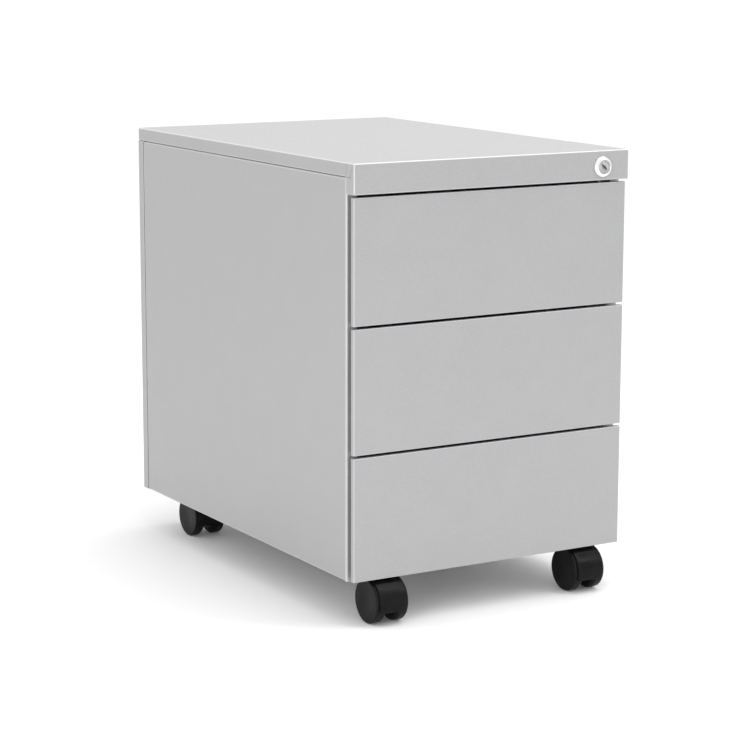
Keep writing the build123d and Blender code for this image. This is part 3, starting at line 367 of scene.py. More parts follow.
def paint_bend_highlights(piece, material, shine):
    """Applies the bends and paints a highlight on upright and upper ones, none on lower ones."""
    upright, upper = shine

    def mark(face):
        """A face's painted highlight; the Bevel modifier gave the bends the second material."""
        if face.material_index == 0 or face.normal.z < -TILT:
            return 0.0
        return upper if face.normal.z > TILT else upright

    piece.data.materials.append(material)
    evaluated = piece.evaluated_get(bpy.context.evaluated_depsgraph_get())
    mesh = bpy.data.meshes.new_from_object(evaluated)
    piece.modifiers.clear()
    piece.data = mesh
    # each face's painted highlight strength goes into the bend attribute
    marks = np.array([mark(face) for face in mesh.polygons], dtype=np.float32)
    mesh.attributes.new("bend", "FLOAT", "FACE").data.foreach_set("value", marks)
    mesh.polygons.foreach_set("material_index", np.zeros(len(marks), dtype=np.int32))


def folded(name, faces, bend, shine):
    """A folded panel from its flanges' outer faces; shine is the painted highlight on upright and upper
    bends.
    """
    bm = bmesh.new()
    for corners in faces:
        bm.faces.new([bm.verts.new(corner) for corner in corners])
    bmesh.ops.remove_doubles(bm, verts=bm.verts, dist=0.02 * MM)
    bmesh.ops.recalc_face_normals(bm, faces=bm.faces)
    middle = sum((face.calc_center_median() for face in bm.faces), Vector()) / len(bm.faces)
    facing = sum((f.calc_center_median() - middle).dot(f.normal) * f.calc_area() for f in bm.faces)
    if facing < 0:
        bmesh.ops.reverse_faces(bm, faces=bm.faces)
    weigh_bends(bm, bend)
    piece = mesh_object(name, bm, powder)
    bends = piece.modifiers.new("bends", "BEVEL")
    bends.width = bend
    bends.segments = 5
    bends.limit_method = "WEIGHT"
    bends.use_clamp_overlap = False
    bends.material = 1
    paint_bend_highlights(piece, powder, shine)
    wall = piece.modifiers.new("wall", "SOLIDIFY")
    wall.thickness = SHEET
    wall.offset = -1
    wall.use_even_offset = True
    soften(piece, CUT_EDGE)
    settle(piece, powder)
    return shade(piece, powder)


print("folding helpers are ready")

# %% [markdown]
# ## Finishing a piece
#
# Every piece says three things: the body that it moves with, the material slot of the record that
# its finish comes from, and the CAD nodes that it stands for. One helper ties the piece to its body
# and hides those CAD nodes.


# %% One helper for what every piece says about itself
slots = {part["node"]: part["material_slot"] for part in frame["record"]["subparts"]}


def belongs(piece, body, slot, *stands_for):
    """Ties a finished piece to its body and hides the CAD nodes that it replaces; slot is not used."""
    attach(piece, body)
    if stands_for:
        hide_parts(*stands_for)
    print(f"{piece.name}: {len(piece.data.polygons)} faces, rides on {body}")
    return piece


# %% [markdown]
# ## The top cover
#
# The cover is one pan: a flat top with a skirt folded down on three sides and a deeper fascia in
# front. The fascia's ends are folded back along the sides and tucked under the skirt, so two fine
# seams show at each front corner: one straight up from the skirt's lower edge, and one that runs
# forward, rises and then slants to the corner. They are cut as slits a third of a millimetre wide
# through one side face, which keeps the fold along the top edge in one piece.

# %% Top cover: pan, fascia, corner seams and the return underneath
SLIT = 0.35 * MM
FASCIA_DEPTH = 18.4 * MM
SEAM_SET = 7.8 * MM
COVER_BEND = 1.3 * MM
COVER_RETURN = 12 * MM
SEAM_STOP = 2.0 * MM  # how far below the top the straight seam ends
SLANT_FROM, SLANT_TO = 10.5 * MM, 3.6 * MM  # how far below the top the slanting seam runs
SLANT_END = 2.6 * MM  # how far behind the fascia's face the slanting seam ends
top, left, right, rear = cover_high.z, cover_low.x, cover_high.x, cover_high.y
fascia_bottom = cover_low.z
skirt_bottom = panel_high.z + 0.15 * MM
body_front = fascia + FASCIA_DEPTH


def cover_side(x):
    """The side face of the cover, in one piece, with the two seams as slits."""
    seam = body_front
    foot = fascia + SEAM_SET
    slant = [(foot + SLIT, top - SLANT_FROM), (fascia + SLANT_END, top - SLANT_TO)]
    outline = [
        (fascia, top),
        (rear, top),
        (rear, skirt_bottom),
        (seam + SLIT, skirt_bottom),
        (seam + SLIT, top - SEAM_STOP),
        (seam, top - SEAM_STOP),
        (seam, skirt_bottom),
        (foot + SLIT, skirt_bottom),
        *slant,
        (slant[1][0] - SLIT, slant[1][1] - SLIT / 2),
        (foot, slant[0][1] - SLIT),
        (foot, skirt_bottom - SLIT),
        (seam, skirt_bottom - SLIT),
        (seam, fascia_bottom),
        (fascia, fascia_bottom),
    ]
    return [(x, y, z) for y, z in outline]


def flat(x0, x1, y0, y1, z):
    """A level rectangle at height z."""
    return [(x0, y0, z), (x1, y0, z), (x1, y1, z), (x0, y1, z)]


def wall_x(x, y0, y1, z0, z1):
    """An upright rectangle that faces sideways."""
    return [(x, y0, z0), (x, y1, z0), (x, y1, z1), (x, y0, z1)]


def wall_y(y, x0, x1, z0, z1):
    """An upright rectangle that faces the front or the back."""
    return [(x0, y, z0), (x1, y, z0), (x1, y, z1), (x0, y, z1)]


def cover_return(corners):
    """One level flange under the skirt, mitred where it meets the next one."""
    return [(x, y, skirt_bottom) for x, y in corners]


skirt_front = body_front + SLIT
inner_rear = rear - COVER_RETURN
inner_left, inner_right = left + COVER_RETURN, right - COVER_RETURN
cover = folded(
    "top_cover_pan",
    [
        flat(left, right, fascia, rear, top),
        wall_y(fascia, left, right, fascia_bottom, top),
        wall_y(rear, left, right, skirt_bottom, top),
        cover_side(left),
        cover_side(right),
        flat(left, right, fascia, body_front, fascia_bottom),
        *[
            cover_return([(x, skirt_front), (x, rear), (inner, inner_rear), (inner, skirt_front)])
            for x, inner in ((left, inner_left), (right, inner_right))
        ],
        cover_return([(left, rear), (right, rear), (inner_right, inner_rear), (inner_left, inner_rear)]),
    ],
    COVER_BEND,
    # painted highlight on upright and upper bends
    (0.4, 0.55),
)
belongs(cover, "carcass", "powder_coat", "top_cover")

# %% [markdown]
# ## The side panels and the back
#
# A side panel is the cabinet's wall and its front post in one. Its front edge is folded round a
# generous radius, which shows as a bright line from top to bottom: part round geometry, part a
# painted highlight on the bend. At the rear it steps inwards by a sheet's thickness, and the back
# panel's flange lies over the step, flush with the side. The open step beside that flange is the
# fine dark groove near the rear edge.

# %% Side panels with their posts, steps and flanges
PANEL_BEND = 2.4 * MM
RETURN_DEPTH = 30 * MM
STEP = 1.2 * MM
STEP_RUN = 2.0 * MM
GROOVE_FROM_BACK = 18.5 * MM
REAR_TAB = 12 * MM
FLANGE = 10 * MM
RELIEF = 3.5 * MM
RETURN_SHORT = 40 * MM
back_low, back_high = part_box("back_panel")
back_face = back_high.y
panel_bottom, panel_top = panel_low.z, panel_high.z
post_width = panel_high.x - panel_low.x
return_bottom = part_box("rear_uprights")[0].z
return_top = panel_top - RETURN_SHORT


def side_panel(side):
    """The outer faces of one side panel: skin, front post, step, rear tab and edge flanges."""
    outer = side * abs(panel_low.x)
    post = outer - side * post_width
    step_start = back_face - GROOVE_FROM_BACK
    step_end = step_start + STEP_RUN
    under = outer - side * STEP
    tab = back_face - 1.5 * SHEET
    fold_a, fold_b = body_front + RELIEF, step_start - RELIEF
    skin = [
        (body_front, panel_bottom), (fold_a, panel_bottom), (fold_b, panel_bottom),
        (step_start, panel_bottom), (step_start, panel_top), (fold_b, panel_top),
        (fold_a, panel_top), (body_front, panel_top),
    ]
    front = [
        (outer, panel_bottom), (post, panel_bottom), (post, return_bottom),
        (post, return_top), (post, panel_top), (outer, panel_top),
    ]
    inner = outer - side * FLANGE
    return [
        [(outer, y, z) for y, z in skin],
        [(x, body_front, z) for x, z in front],
        wall_x(post, body_front, body_front + RETURN_DEPTH, return_bottom, return_top),
        flat(outer, inner, fold_a, fold_b, panel_bottom),
        flat(outer, inner, fold_a, fold_b, panel_top),
        [
            (outer, step_start, panel_bottom), (under, step_end, panel_bottom),
            (under, step_end, panel_top), (outer, step_start, panel_top),
        ],
        wall_x(under, step_end, tab, panel_bottom, panel_top),
        wall_y(tab, under, under - side * REAR_TAB, panel_bottom, panel_top),
    ]


panel_skins = {}
for side, name in ((-1, "left"), (1, "right")):
    # painted highlight on the upright bends, none on level ones
    panel_skins[name] = folded(f"{name}_side_skin", side_panel(side), PANEL_BEND, (0.3, 0.0))
    belongs(panel_skins[name], "carcass", "powder_coat", f"{name}_side_panel")

# %% Back panel with its wrap-round flanges
BACK_BEND = 1.6 * MM
NOSE = 1.1 * MM
back = folded(
    "back_skin",
    [
        wall_y(back_face, back_low.x, back_high.x, back_low.z, back_high.z),
        wall_x(back_low.x, back_low.y, back_face, back_low.z, back_high.z),
        wall_x(back_high.x, back_low.y, back_face, back_low.z, back_high.z),
        wall_y(back_low.y, back_low.x, back_low.x + NOSE, back_low.z, back_high.z),
        wall_y(back_low.y, back_high.x - NOSE, back_high.x, back_low.z, back_high.z),
    ],
    BACK_BEND,
    # painted highlight on upright bends, none on upper ones
    (0.2, 0.0),
)
belongs(back, "carcass", "powder_coat", "back_panel")

# %% [markdown]
# ## The drawer fronts
#
# Each front is a shallow pan. Its four flanges are folded back and not welded, so the corners show
# a short slit with a small relief notch beside the fold. Notches like these stop the sheet from
# tearing in the press.

# %% Drawer fronts with open corners
FRONT_BEND = 1.0 * MM
CORNER_NOTCH = 0.55 * MM
CORNER_FOLD = 2.3 * MM


def drawer_front(low, high):
    """The outer faces of a front: its face and four flanges that part near the corners."""
    closed, open_end = low.y + CORNER_FOLD, high.y

    def flange(start, end):
        """Depth and place along a flange, with both its ends set back behind the notch."""
        return [
            (low.y, start), (low.y, end), (closed, end), (closed, end - CORNER_NOTCH),
            (open_end, end - CORNER_NOTCH), (open_end, start + CORNER_NOTCH),
            (closed, start + CORNER_NOTCH), (closed, start),
        ]

    upright, level = flange(low.z, high.z), flange(low.x, high.x)
    return [
        wall_y(low.y, low.x, high.x, low.z, high.z),
        [(low.x, y, z) for y, z in upright],
        [(high.x, y, z) for y, z in upright],
        [(x, y, low.z) for y, x in level],
        [(x, y, high.z) for y, x in level],
    ]


for name in DRAWERS:
    faces = drawer_front(*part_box(f"{name}_drawer_front"))
    # painted highlight on upright and upper bends
    skin = folded(f"{name}_front_skin", faces, FRONT_BEND, (0.3, 0.1))
    belongs(skin, f"{name}_drawer", "powder_coat", f"{name}_drawer_front")

# %% [markdown]
# ## Turned shapes
#
# Wheels, hoods, screws and the lock are round about an axis. One helper turns an outline, given as
# distances along the axis and radii, about any axis, fully or through part of a turn. Corners in
# an outline are rounded by arcs, so the roundness is in the mesh and not only in the shading.


# %% Turning an outline about an axis
def arc(along, radius, size, start, end, steps=5):
    """Points on a small arc in an outline, by its centre, its radius and two angles in degrees."""
    angles = np.radians(np.linspace(start, end, steps))
    return [(along + size * math.cos(a), radius + size * math.sin(a)) for a in angles]


def turned(name, outline, origin, axis, material, steps=96, sweep=(0.0, 360.0), first=None):
    """A solid of revolution: the outline's points are (distance along the axis, radius)."""
    axis = Vector(axis).normalized()
    first = Vector(first) if first else axis.orthogonal().normalized()
    second = axis.cross(first)
    whole = sweep[1] - sweep[0] >= 360
    angles = np.radians(np.linspace(*sweep, steps + 1))
    angles = angles[:-1] if whole else angles
    bm = bmesh.new()
    rings = [
        [
            bm.verts.new(origin + axis * a + (first * math.cos(t) + second * math.sin(t)) * r)
            for a, r in outline
        ]
        for t in angles
    ]
    count = len(outline)
    last = len(rings) if whole else len(rings) - 1
    for i in range(last):
        here, there = rings[i], rings[(i + 1) % len(rings)]
        for j in range(count):
            k = (j + 1) % count
            bm.faces.new((here[j], here[k], there[k], there[j]))
    if not whole:
        bm.faces.new(rings[0])
        bm.faces.new(list(reversed(rings[-1])))
    bmesh.ops.remove_doubles(bm, verts=bm.verts, dist=0.001 * MM)
    bmesh.ops.dissolve_degenerate(bm, edges=bm.edges, dist=0.001 * MM)
    bmesh.ops.recalc_face_normals(bm, faces=bm.faces)
    if bm.calc_volume(signed=True) < 0:
        bmesh.ops.reverse_faces(bm, faces=bm.faces)
    return shade(mesh_object(name, bm, material), material)


def prism(name, outline, axis_index, low, high, material):
    """A closed outline pushed out along one of the three axes, from low to high."""
    bm = bmesh.new()

    def corner(point, level):
        """A vertex for an outline's point at one end of the prism."""
        values = list(point)
        values.insert(axis_index, level)
        return bm.verts.new(values)

    bottom = [corner(point, low) for point in outline]
    lid = [corner(point, high) for point in outline]
    count = len(outline)
    bm.faces.new(bottom)
    bm.faces.new(lid)
    for i in range(count):
        j = (i + 1) % count
        bm.faces.new((bottom[i], bottom[j], lid[j], lid[i]))
    bmesh.ops.recalc_face_normals(bm, faces=bm.faces)
    if bm.calc_volume(signed=True) < 0:
        bmesh.ops.reverse_faces(bm, faces=bm.faces)
    return mesh_object(name, bm, material)


def combine(base, others, operation, material):
    """Joins other pieces to a base, or cuts them from it, and removes them."""
    for other in others:
        change = base.modifiers.new("combine", "BOOLEAN")
        change.operation = operation
        change.solver = "EXACT"
        change.object = other
    settle(base, material)
    for other in others:
        bpy.data.objects.remove(other)
    return base


print("turning helpers are ready")

# %% [markdown]
# ## Geometry Nodes for what repeats
#
# Screws and ribs repeat many times. One tree puts a copy of an object on every point of a
# mesh, turned so that its own Z axis looks along an attribute called facing. A second tree sets
# ribs round a wheel's hub. Both end in Realize Instances and Set Material, because only real
# geometry with a real material leaves Blender.


# %% The tree that copies an object onto points
def tree_with(name, inputs):
    """A node group with a geometry input and output and named inputs."""
    group = bpy.data.node_groups.new(name, "GeometryNodeTree")
    group.interface.new_socket("Geometry", in_out="INPUT", socket_type="NodeSocketGeometry")
    group.interface.new_socket("Geometry", in_out="OUTPUT", socket_type="NodeSocketGeometry")
    for label, kind in inputs:
        group.interface.new_socket(label, in_out="INPUT", socket_type=kind)
    return group, group.nodes.new("NodeGroupInput"), group.nodes.new("NodeGroupOutput")


def end_tree(group, instances, given, result):
    """Turns a tree's instances into real geometry with a material, and sends it out."""
    real = node(group, "GeometryNodeRealizeInstances", {"Geometry": instances.outputs["Instances"]})
    links = {"Geometry": real.outputs["Geometry"], "Material": given.outputs["Finish"]}
    finished = node(group, "GeometryNodeSetMaterial", links)
    group.links.new(finished.outputs["Geometry"], result.inputs["Geometry"])


copies, given, result = tree_with(
    "copies_on_points",
    [("Copy", "NodeSocketObject"), ("Size", "NodeSocketFloat"), ("Finish", "NodeSocketMaterial")],
)
source = node(copies, "GeometryNodeObjectInfo", {"Object": given.outputs["Copy"]})
facing = node(copies, "GeometryNodeInputNamedAttribute", {"Name": "facing"}, data_type="FLOAT_VECTOR")
turned_to = node(
    copies, "FunctionNodeAlignRotationToVector", {"Vector": facing.outputs["Attribute"]}, axis="Z"
)
placed = node(
    copies,
    "GeometryNodeInstanceOnPoints",
    {
        "Points": given.outputs["Geometry"],
        "Instance": source.outputs["Geometry"],
        "Rotation": turned_to.outputs["Rotation"],
        "Scale": given.outputs["Size"],
    },
)
end_tree(copies, placed, given, result)


def run_tree(piece, tree, material, **values):
    """Runs a tree on a piece with values for its named inputs, and keeps the plain mesh."""
    run = piece.modifiers.new(tree.name, "NODES")
    run.node_group = tree
    for item in tree.interface.items_tree:
        if item.in_out == "INPUT" and item.name in values:
            run[item.identifier] = values[item.name]
    return settle(piece, material)


def copies_at(name, places, copy, material):
    """One mesh with a copy at each place; a place is a point and the way its outer end faces."""
    mesh = bpy.data.meshes.new(name)
    mesh.from_pydata([point for point, _ in places], [], [])
    attribute = mesh.attributes.new("facing", "FLOAT_VECTOR", "POINT")
    attribute.data.foreach_set("vector", [v for _, way in places for v in way])
    piece = add_object(name, mesh)
    return run_tree(piece, copies, material, Copy=copy, Size=1.0, Finish=material)


print("the copying tree has", len(copies.nodes), "nodes")

# %% [markdown]
# ## Screws
#
# The panels, slides and drawers use cross-recess pan heads, and the casters chamfered hexagon
# heads. A screw is modelled once, with its head along +Z and its seat at zero, and copied. The
# cross is cut with two tapering blades, as a real punch leaves it.


# %% A pan head with a cross recess, and a hexagon head
def shank_outline(shank, reach, pitch):
    """A shank's outline from its tip to its head, with shallow rings in place of a thread."""
    rings = []
    for i in range(int(reach / pitch)):
        rings += [(-i * pitch, shank), (-(i + 0.5) * pitch, shank * 0.86)]
    return [(-reach, 0), *reversed(rings)]


def pan_screw(name, shank, reach, head, thick):
    """A pan-head screw: a domed head, a shank with thread-like rings and a cross recess."""
    dome = [(thick * math.sin(t), head * math.cos(t) ** 0.6) for t in np.linspace(0.12, 1.45, 9)]
    stem = shank_outline(shank, reach, 0.7 * MM)
    outline = [*stem, (0, shank), (0, head * 0.97), *dome, (thick, 0)]
    screw = turned(name, outline, Vector(), (0, 0, 1), zinc, steps=24)
    wide, narrow, half = head * 0.55, head * 0.2, head * 0.12
    over, deep = thick * 1.1, thick * 0.25
    shape = [(-wide, over), (wide, over), (narrow, deep), (-narrow, deep)]
    blades = []
    for i in range(2):
        blade = prism(f"{name}_blade_{i}", shape, 1, -half, half, zinc)
        blade.data.transform(Matrix.Rotation(math.radians(45 + 90 * i), 4, "Z"))
        blades.append(blade)
    return shade(combine(screw, blades, "DIFFERENCE", zinc), zinc)


def hex_screw(name, shank, reach, across, thick):
    """A hexagon screw: chamfered corners and a ringed shank."""
    corner = across / 2 / math.cos(math.pi / 6)
    points = [(corner * math.cos(t), corner * math.sin(t)) for t in np.radians(np.arange(6) * 60)]
    head = prism(name, points, 2, 0, thick, zinc)
    crown = turned(
        f"{name}_crown",
        [(-MM, 0), (-MM, across), (thick * 0.7, across * 0.62), (thick, across * 0.47), (thick, 0)],
        Vector(), (0, 0, 1), zinc, steps=48,
    )
    combine(head, [crown], "INTERSECT", zinc)
    outline = [*shank_outline(shank, reach, 0.8 * MM), (0.4 * MM, shank), (0.4 * MM, 0)]
    stem = turned(f"{name}_stem", outline, Vector(), (0, 0, 1), zinc, steps=20)
    return shade(combine(head, [stem], "UNION", zinc), zinc)


def screw_places(node_name, way, lift):
    """Where a CAD node's screws sit: way turns each loose solid's box into a seat and a facing."""
    bm = bmesh.new()
    bm.from_mesh(frame["nodes"][node_name].data)
    bmesh.ops.remove_doubles(bm, verts=bm.verts, dist=0.01 * MM)
    left_over, boxes = set(bm.verts), []
    while left_over:
        stack, island = [left_over.pop()], []
        while stack:
            vertex = stack.pop()
            island.append(vertex.co.copy())
            for edge in vertex.link_edges:
                other = edge.other_vert(vertex)
                if other in left_over:
                    left_over.remove(other)
                    stack.append(other)
        low = Vector([min(co[i] for co in island) for i in range(3)])
        high = Vector([max(co[i] for co in island) for i in range(3)])
        boxes.append((low, high))
    bm.free()
    boxes.sort(key=lambda box: tuple(box[0]))  # a set has no order of its own
    return [way(low, high, lift) for low, high in boxes]


PAN_HEAD = 1.6 * MM
FRONT_HEAD = 2.4 * MM
HEX_HEAD = 2.8 * MM


def panel_way(low, high, lift):
    """Slide screws face the cabinet's middle, cover screws face down."""
    middle = (low + high) / 2
    if high.z - low.z > high.x - low.x:
        return ((middle.x, middle.y, low.z + lift), (0, 0, -1))
    side = 1 if middle.x > 0 else -1
    inner = low.x if side > 0 else high.x
    return ((inner + side * lift, middle.y, middle.z), (-side, 0, 0))


def rear_way(low, high, lift):
    """The drawers' screws face backwards, into the box."""
    middle = (low + high) / 2
    return ((middle.x, high.y - lift, middle.z), (0, 1, 0))


def down_way(low, high, lift):
    """The casters' screws face the floor."""
    middle = (low + high) / 2
    return ((middle.x, middle.y, low.z + lift), (0, 0, -1))


def screw_set(name, node_name, body, way, lift, screw):
    """Copies a screw to every place that a CAD node of screws has."""
    screws = copies_at(name, screw_places(node_name, way, lift), screw, zinc)
    belongs(screws, body, "zinc_steel", node_name)


pan = pan_screw("pan_screw", shank=1.95 * MM, reach=3.4 * MM, head=3.6 * MM, thick=PAN_HEAD)
front_pan = pan_screw("front_screw", shank=2.45 * MM, reach=3.4 * MM, head=4.5 * MM, thick=FRONT_HEAD)
hexagon = hex_screw("hex_screw", shank=2.45 * MM, reach=6.8 * MM, across=8.0 * MM, thick=HEX_HEAD)
screw_set("panel_screw_set", "panel_screws", "carcass", panel_way, PAN_HEAD, pan)
screw_set("caster_screw_set", "caster_screws", "carcass", down_way, HEX_HEAD, hexagon)
for name in DRAWERS:
    screw_set(
        f"{name}_front_screw_set", f"{name}_drawer_screws", f"{name}_drawer",
        rear_way, FRONT_HEAD, front_pan,
    )
for spare in (pan, front_pan, hexagon):
    bpy.data.objects.remove(spare)

# %% [markdown]
# ## The casters
#
# A twin-wheel caster has three mouldings: two wheels on one axle, and a hood that covers both
# treads and turns on a pin behind them. A wheel is an outline turned about the axle. Its inner shoulder is
# much rounder than its outer one, so the two wheels leave a notch between them at the floor. Eight
# ribs stiffen the hollow inside. All eight wheels and all four hoods are alike, so one wheel and
# one hood are modelled round the origin and copied to where the CAD model has them.

# %% A ring of ribs, and the wheel that they stiffen
ring, given, result = tree_with(
    "ring_of_ribs",
    [("Copy", "NodeSocketObject"), ("Count", "NodeSocketInt"), ("Finish", "NodeSocketMaterial")],
)
source = node(ring, "GeometryNodeObjectInfo", {"Object": given.outputs["Copy"]})
spots = node(ring, "GeometryNodeMeshLine", {"Count": given.outputs["Count"], "Offset": (0, 0, 0)})
share = node(ring, "ShaderNodeMath", operation="DIVIDE")
share.inputs[0].default_value = 2 * math.pi
ring.links.new(given.outputs["Count"], share.inputs[1])
angle = node(ring, "ShaderNodeMath", operation="MULTIPLY")
ring.links.new(node(ring, "GeometryNodeInputIndex").outputs["Index"], angle.inputs[0])
ring.links.new(share.outputs["Value"], angle.inputs[1])
about_axle = node(ring, "ShaderNodeCombineXYZ", {"X": angle.outputs["Value"]})
set_round = node(
    ring,
    "GeometryNodeInstanceOnPoints",
    {
        "Points": spots.outputs["Mesh"],
        "Instance": source.outputs["Geometry"],
        "Rotation": about_axle.outputs["Vector"],
    },
)
end_tree(ring, set_round, given, result)

WHEEL_LOW, WHEEL_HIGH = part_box("front_left_caster_right_wheel")
HOOD_LOW, HOOD_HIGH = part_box("front_left_caster_hood")
PLATES_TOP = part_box("caster_plates")[1].z
AXLE = (WHEEL_LOW + WHEEL_HIGH) / 2
AXLE.x = (HOOD_LOW.x + HOOD_HIGH.x) / 2
WHEEL_R = (WHEEL_HIGH.z - WHEEL_LOW.z) / 2
INNER, OUTER = WHEEL_LOW.x - AXLE.x, WHEEL_HIGH.x - AXLE.x
SHOULDER_WIDE, SHOULDER_DEEP = 6.6 * MM, 9.0 * MM
EDGE_ROUND, DISH, DISH_EDGE = 2.2 * MM, 1.4 * MM, 0.15 * MM
RIM, HUB, BORE, WEB = 4.5 * MM, 8.0 * MM, 3.15 * MM, 4.0 * MM
RIBS = 8
RIB_HALF = 0.8 * MM


def wheel_outline():
    """Half the wheel's section, as (distance along the axle, radius), from the bore round."""
    hollow = OUTER - WEB - DISH
    cap = OUTER - DISH
    rounded = [
        (INNER + SHOULDER_WIDE * (1 - math.cos(t)), WHEEL_R - SHOULDER_DEEP * (1 - math.sin(t)))
        for t in np.radians(np.linspace(0, 90, 12))
    ]
    edge = arc(OUTER - EDGE_ROUND, WHEEL_R - EDGE_ROUND, EDGE_ROUND, 90, 0, 7)
    reach = WHEEL_R - 3 * MM
    face = [
        (OUTER - DISH_EDGE - (DISH - DISH_EDGE) * (0.5 + 0.5 * math.cos(math.pi * r / reach)), r)
        for r in np.linspace(reach, 0, 14)
    ]
    return [
        (cap - 2 * MM, 0),
        (cap - 2 * MM, BORE),
        (INNER + 0.6 * MM, BORE),
        (INNER, BORE + 0.6 * MM),
        (INNER, HUB - 0.5 * MM),
        (INNER + 0.5 * MM, HUB),
        (hollow - MM, HUB + 0.3 * MM),
        (hollow, HUB + 1.3 * MM),
        (hollow, WHEEL_R - RIM - 1.3 * MM),
        (hollow - MM, WHEEL_R - RIM - 0.3 * MM),
        (INNER + 6.5 * MM, WHEEL_R - RIM),
        (INNER + 1.2 * MM, WHEEL_R - SHOULDER_DEEP - 2.6 * MM),
        (INNER + 0.3 * MM, WHEEL_R - SHOULDER_DEEP - 2.4 * MM),
        *rounded,
        *edge,
        *face,
    ]


rib = prism(
    "rib",
    [
        (-RIB_HALF, HUB - MM), (RIB_HALF, HUB - MM),
        (RIB_HALF, WHEEL_R - RIM + MM), (-RIB_HALF, WHEEL_R - RIM + MM),
    ],
    0, INNER + 8 * MM, OUTER - WEB - DISH + MM, wheel_black,
)
ribs = add_object("ribs", bpy.data.meshes.new("ribs"))
run_tree(ribs, ring, wheel_black, Copy=rib, Count=RIBS, Finish=wheel_black)
wheel = turned("wheel", wheel_outline(), Vector(), (1, 0, 0), wheel_black, steps=120, first=(0, 1, 0))
shade(combine(wheel, [ribs], "UNION", wheel_black), wheel_black, 40)
bpy.data.objects.remove(rib)
print("a wheel has", len(wheel.data.polygons), "faces")

# %% The hood: a cover over both treads, a middle wall and a swivel boss
HOOD_R = AXLE.y - HOOD_LOW.y
HOOD_HALF = (HOOD_HIGH.x - HOOD_LOW.x) / 2
HOOD_WALL = 1.5 * MM
SPINE_HALF = INNER - 1.3 * MM
SPINE_DROP = 8.0 * MM
BOSS_R, BOSS_TALL, PIN_R, PIN_LONG = 13.0 * MM, 28.0 * MM, 4.15 * MM, 21.5 * MM
PLATE_THICK, BOSS_GAP = 2.5 * MM, 0.4 * MM
BOSS_TOP = PLATES_TOP - PLATE_THICK - BOSS_GAP - AXLE.z
HOOD_FROM, HOOD_TO = 2.0, 200.0  # degrees round the axle
CROWN, LIP_ROUND = 0.35 * MM, 0.7 * MM
TRAIL = 20.0 * MM  # from the axle to the swivel's pin


def hood_outline():
    """The cover's section across both treads, crowned and with rounded edges."""
    inner = HOOD_R - HOOD_WALL
    over = [
        (a, HOOD_R - CROWN * (a / HOOD_HALF) ** 4)
        for a in np.linspace(HOOD_HALF - LIP_ROUND, -HOOD_HALF + LIP_ROUND, 15)
    ]
    right = arc(HOOD_HALF - LIP_ROUND, HOOD_R - CROWN - LIP_ROUND, LIP_ROUND, 0, 75, 4)
    left = [(-a, r) for a, r in reversed(right)]
    return [(-HOOD_HALF, inner), (HOOD_HALF, inner), *right, *over, *left]


cover_shell = turned(
    "hood", hood_outline(), Vector(), (1, 0, 0), hood_black, 120, (HOOD_FROM, HOOD_TO), first=(0, 1, 0)
)
soften(cover_shell, 0.4 * MM, segments=3)
settle(cover_shell, hood_black)
spine_r = HOOD_R - 0.8 * MM
low_angle = math.degrees(math.asin(SPINE_DROP / spine_r))
rim_points = np.radians(np.linspace(-low_angle, 180 + low_angle, 90))
spine = prism(
    "spine",
    [(spine_r * math.cos(t), spine_r * math.sin(t)) for t in rim_points],
    0, -SPINE_HALF, SPINE_HALF, hood_black,
)
soften(spine, 0.6 * MM, segments=3)
settle(spine, hood_black)
boss_outline = [
    (BOSS_TOP - BOSS_TALL, 0), (BOSS_TOP - BOSS_TALL, BOSS_R - MM), (BOSS_TOP - BOSS_TALL + MM, BOSS_R),
    (BOSS_TOP - 0.8 * MM, BOSS_R), (BOSS_TOP, BOSS_R - 0.8 * MM), (BOSS_TOP, 0),
]
boss = turned("boss", boss_outline, Vector((0, TRAIL, 0)), (0, 0, 1), hood_black, 64)

def cylinder_outline(low, high, radius):
    """The outline of a plain cylinder, which the cutters below are turned from."""
    return [(low, 0), (low, radius), (high, radius), (high, 0)]


room = cylinder_outline(-40 * MM, 40 * MM, HOOD_R - HOOD_WALL)
wheel_room = turned("wheel_room", room, Vector(), (1, 0, 0), hood_black, 120, first=(0, 1, 0))
combine(boss, [wheel_room], "DIFFERENCE", hood_black)
combine(cover_shell, [boss, spine], "UNION", hood_black)
pin_outline = cylinder_outline(BOSS_TOP - PIN_LONG, BOSS_TOP + MM, PIN_R)
pin_hole = turned("pin_hole", pin_outline, Vector((0, TRAIL, 0)), (0, 0, 1), hood_black, 48)
axle_outline = cylinder_outline(-SPINE_HALF - MM, SPINE_HALF + MM, 3 * MM)
axle_hole = turned("axle_hole", axle_outline, Vector(), (1, 0, 0), hood_black, 48)
combine(cover_shell, [pin_hole, axle_hole], "DIFFERENCE", hood_black)
shade(cover_shell, hood_black, 40)
print("a hood has", len(cover_shell.data.polygons), "faces")


# %% Copies for all four casters
def copy_of(master, name, material, matrix):
    """A copy of a master piece's mesh, put in its place by moving the mesh and not the object."""
    mesh = master.data.copy()
    mesh.name = name
    mesh.transform(matrix)
    mesh.materials.clear()
    mesh.materials.append(material)
    return add_object(name, mesh)


for name in CASTERS:
    low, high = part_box(f"{name}_caster_hood")
    wheel_low, wheel_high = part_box(f"{name}_caster_left_wheel")
    middle = (wheel_low + wheel_high) / 2
    middle.x = (low.x + high.x) / 2
    here = Matrix.Translation(middle)
    belongs(
        copy_of(cover_shell, f"{name}_hood", hood_black, here),
        f"{name}_caster", "black_plastic", f"{name}_caster_hood",
    )
    for side, half_turn in (("left", math.pi), ("right", 0.0)):
        placed_at = here @ Matrix.Rotation(half_turn, 4, "Z")
        belongs(
            copy_of(wheel, f"{name}_{side}_wheel", wheel_black, placed_at),
            f"{name}_caster_{side}_wheel", "wheel_plastic", f"{name}_caster_{side}_wheel",
        )
bpy.data.objects.remove(wheel)
bpy.data.objects.remove(cover_shell)

